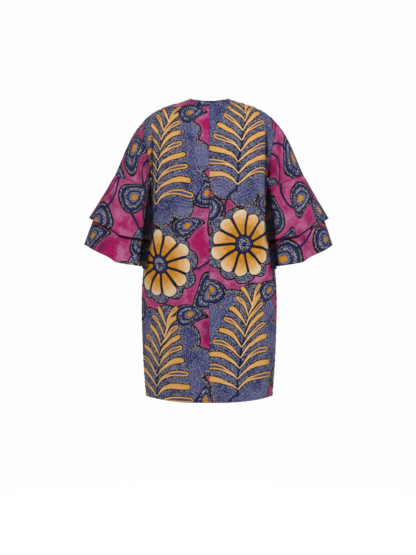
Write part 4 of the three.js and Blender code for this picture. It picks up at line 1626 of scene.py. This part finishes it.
# Rows of stitches: name, kind of piece, edge, first and last column of the line.
STITCH_ROWS = [
    ("hem_stitches", "back", "first_row", 0, None),
    ("hem_stitches", "front", "first_row", 0, None),
    ("front_edge_stitches", "front", "first_column", 0, None),
    ("neckline_stitches", "back", "last_row", 0, NECK_COLUMNS),
    ("upper_flounce_stitches", "upper_flounce", "last_row", 0, None),
    ("lower_flounce_stitches", "lower_flounce", "last_row", 0, None),
]
print("stitches lie", STITCH_FROM_EDGE * 1000, "mm from the edges of", len(STITCH_ROWS), "kinds of line")

# %% [markdown]
# ### Thread
# Sewing thread is two plies twisted together. The beads keep the sphere's own marks, which run round and
# along each stitch, so a wave on both of them draws the twist.

# %% Thread
TWISTS_ROUND = 2
TWISTS_ALONG = 24.0
PLY_FADES = (-0.6, 0.7)
PLY_HEIGHT = 0.0001
THREAD_DARK = colour("14162E")
THREAD_LIGHT = colour("3A4178")

thread = bpy.data.materials.new("sewing_thread")
thread.use_nodes = True
tree = thread.node_tree
shader = tree.nodes["Principled BSDF"]
marks = tree.nodes.new("ShaderNodeSeparateXYZ")
tree.links.new(cloth_place(tree), marks.inputs[0])
round_it = reckon(tree, "MULTIPLY", marks.outputs[0], TWISTS_ROUND * 2 * math.pi)
twist = reckon(tree, "SINE", reckon(tree, "MULTIPLY_ADD", marks.outputs[1], TWISTS_ALONG, round_it))
ply = between(tree, twist, *PLY_FADES)
tree.links.new(paint(tree, THREAD_DARK, THREAD_LIGHT, ply), shader.inputs["Base Color"])
tree.links.new(bump_from(tree, ply, 1.0, PLY_HEIGHT), shader.inputs["Normal"])
shader.inputs["Roughness"].default_value = 0.55
shader.inputs["Sheen Weight"].default_value = 0.1
print("the thread shows", TWISTS_ROUND, "plies round a stitch")

# %% [markdown]
# ### The stitched rows
# All the stitches of one kind of edge become one mesh: the bead's points are set for each stitch, and its
# faces are counted on from one stitch to the next.

# %% The stitched rows
lines = {}
for name, kind, edge, first, last in STITCH_ROWS:
    for piece in (p for p in pieces.values() if p["kind"] == kind):
        points, normals = stitch_line(piece, edge)
        lines.setdefault(name, []).append(set_stitches(points[first:last], normals[first:last]))
for name, parts in lines.items():
    stitches = np.concatenate(parts)
    count = len(stitches)
    faces = [[v + len(bead_points) * k for v in face] for k in range(count) for face in bead_faces]
    mesh = bpy.data.meshes.new(name)
    mesh.from_pydata(stitches.reshape(-1, 3), [], faces)
    mesh.uv_layers.new(name="cloth").data.foreach_set("uv", np.tile(bead_marks, (count, 1)).ravel())
    mesh.materials.append(thread)
    mesh.shade_smooth()
    row = bpy.data.objects.new(name, mesh)
    bpy.context.collection.objects.link(row)
    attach(row, "root")
    print(name, "has", count, "stitches")

# %% [markdown]
# ## Studio
# The jacket stands in a white room. The room is bright only for the camera: as light it is weak, which leaves
# the soft lights something to model. A Light Path node tells the two apart.

# %% The white room
ROOM_WHITE = (0.985, 0.985, 0.99, 1)
ROOM_LIGHT = 0.050

bpy.context.scene.view_settings.view_transform = "Standard"
world = bpy.data.worlds.new("white_room")
bpy.context.scene.world = world
world.use_nodes = True
tree = world.node_tree
shown, lighting = tree.nodes["Background"], tree.nodes.new("ShaderNodeBackground")
shown.inputs["Color"].default_value = ROOM_WHITE
lighting.inputs["Color"].default_value = ROOM_WHITE
lighting.inputs["Strength"].default_value = ROOM_LIGHT


def blend_shaders(tree, under, over, share, surface):
    """Lays one shader over another by a share, and gives the result to a surface."""
    both = add_node(tree, "ShaderNodeMixShader", share, under, over)
    tree.links.new(both, surface)


seen = add_node(tree, "ShaderNodeLightPath")
surface = tree.nodes["World Output"].inputs["Surface"]
blend_shaders(tree, lighting.outputs[0], shown.outputs[0], seen, surface)
print("the room gives", ROOM_LIGHT, "of the light that it shows")

# %% [markdown]
# ### Floor
# A wide pale disc lies well below the hem. It fades into the room's own white away from the middle, so no
# horizon crosses the picture.

# %% Floor
FLOOR_Z = -1.545
FLOOR_RADIUS = 40
FLOOR_PALE = (0.9, 0.9, 0.905, 1)
FLOOR_LIFT = 0.80
FLOOR_FADE = (0.3, 1.6)

bpy.ops.object.select_all(action="DESELECT")
bpy.ops.mesh.primitive_circle_add(
    vertices=96, radius=FLOOR_RADIUS, fill_type="NGON", location=(0, 0, FLOOR_Z)
)
floor = bpy.context.object
floor.name = "floor"
pale = bpy.data.materials.new("pale_floor")
pale.use_nodes = True
tree = pale.node_tree
matt = tree.nodes["Principled BSDF"]
matt.inputs["Base Color"].default_value = FLOOR_PALE
matt.inputs["Roughness"].default_value = 0.9
matt.inputs["Emission Color"].default_value = ROOM_WHITE
seen = add_node(tree, "ShaderNodeLightPath")
tree.links.new(reckon(tree, "MULTIPLY", seen, FLOOR_LIFT), matt.inputs["Emission Strength"])
glow = add_node(tree, "ShaderNodeEmission", ROOM_WHITE)
where = add_node(tree, "ShaderNodeTexCoord", output=3)
reach = add_node(tree, "ShaderNodeVectorMath", where, operation="LENGTH", output=1)
share = reckon(tree, "MULTIPLY", seen, between(tree, reach, *FLOOR_FADE))
surface = tree.nodes["Material Output"].inputs["Surface"]
blend_shaders(tree, matt.outputs[0], glow, share, surface)
floor.data.materials.append(pale)

# %% [markdown]
# ### Soft lights
# One large light is above the camera and a weak one beside it, one is on each side, and one is before the
# jacket's fronts, so that it can be looked at from all round.

# %% Soft lights
# Name, place, what it points at, size in metres, power in watts.
SOFT_LIGHTS = [
    ("above_camera", (0.3, 2.8, 2.2), (0, 0, -0.5), 0.7, 58),
    ("beside_camera", (-0.6, 3.6, -0.3), (0, 0, -0.6), 1.6, 7),
    ("left_side", (3.0, 1.2, 0.6), (0, 0, -0.5), 1.6, 17),
    ("right_side", (-3.0, 1.2, 0.5), (0, 0, -0.5), 1.6, 31),
    ("front", (0.6, -3.0, 1.8), (0, 0, -0.5), 1.2, 56),
]
for name, place, target, size, power in SOFT_LIGHTS:
    bpy.ops.object.light_add(type="AREA", location=place)
    light = bpy.context.object
    light.name = name
    light.data.size = size
    light.data.energy = power
    direction = np.subtract(target, place)
    turn = math.atan2(-direction[0], direction[1])
    tip = math.atan2(math.hypot(direction[0], direction[1]), -direction[2])
    light.rotation_euler = (tip, 0, turn)
print("lights:", ", ".join(row[0] for row in SOFT_LIGHTS))
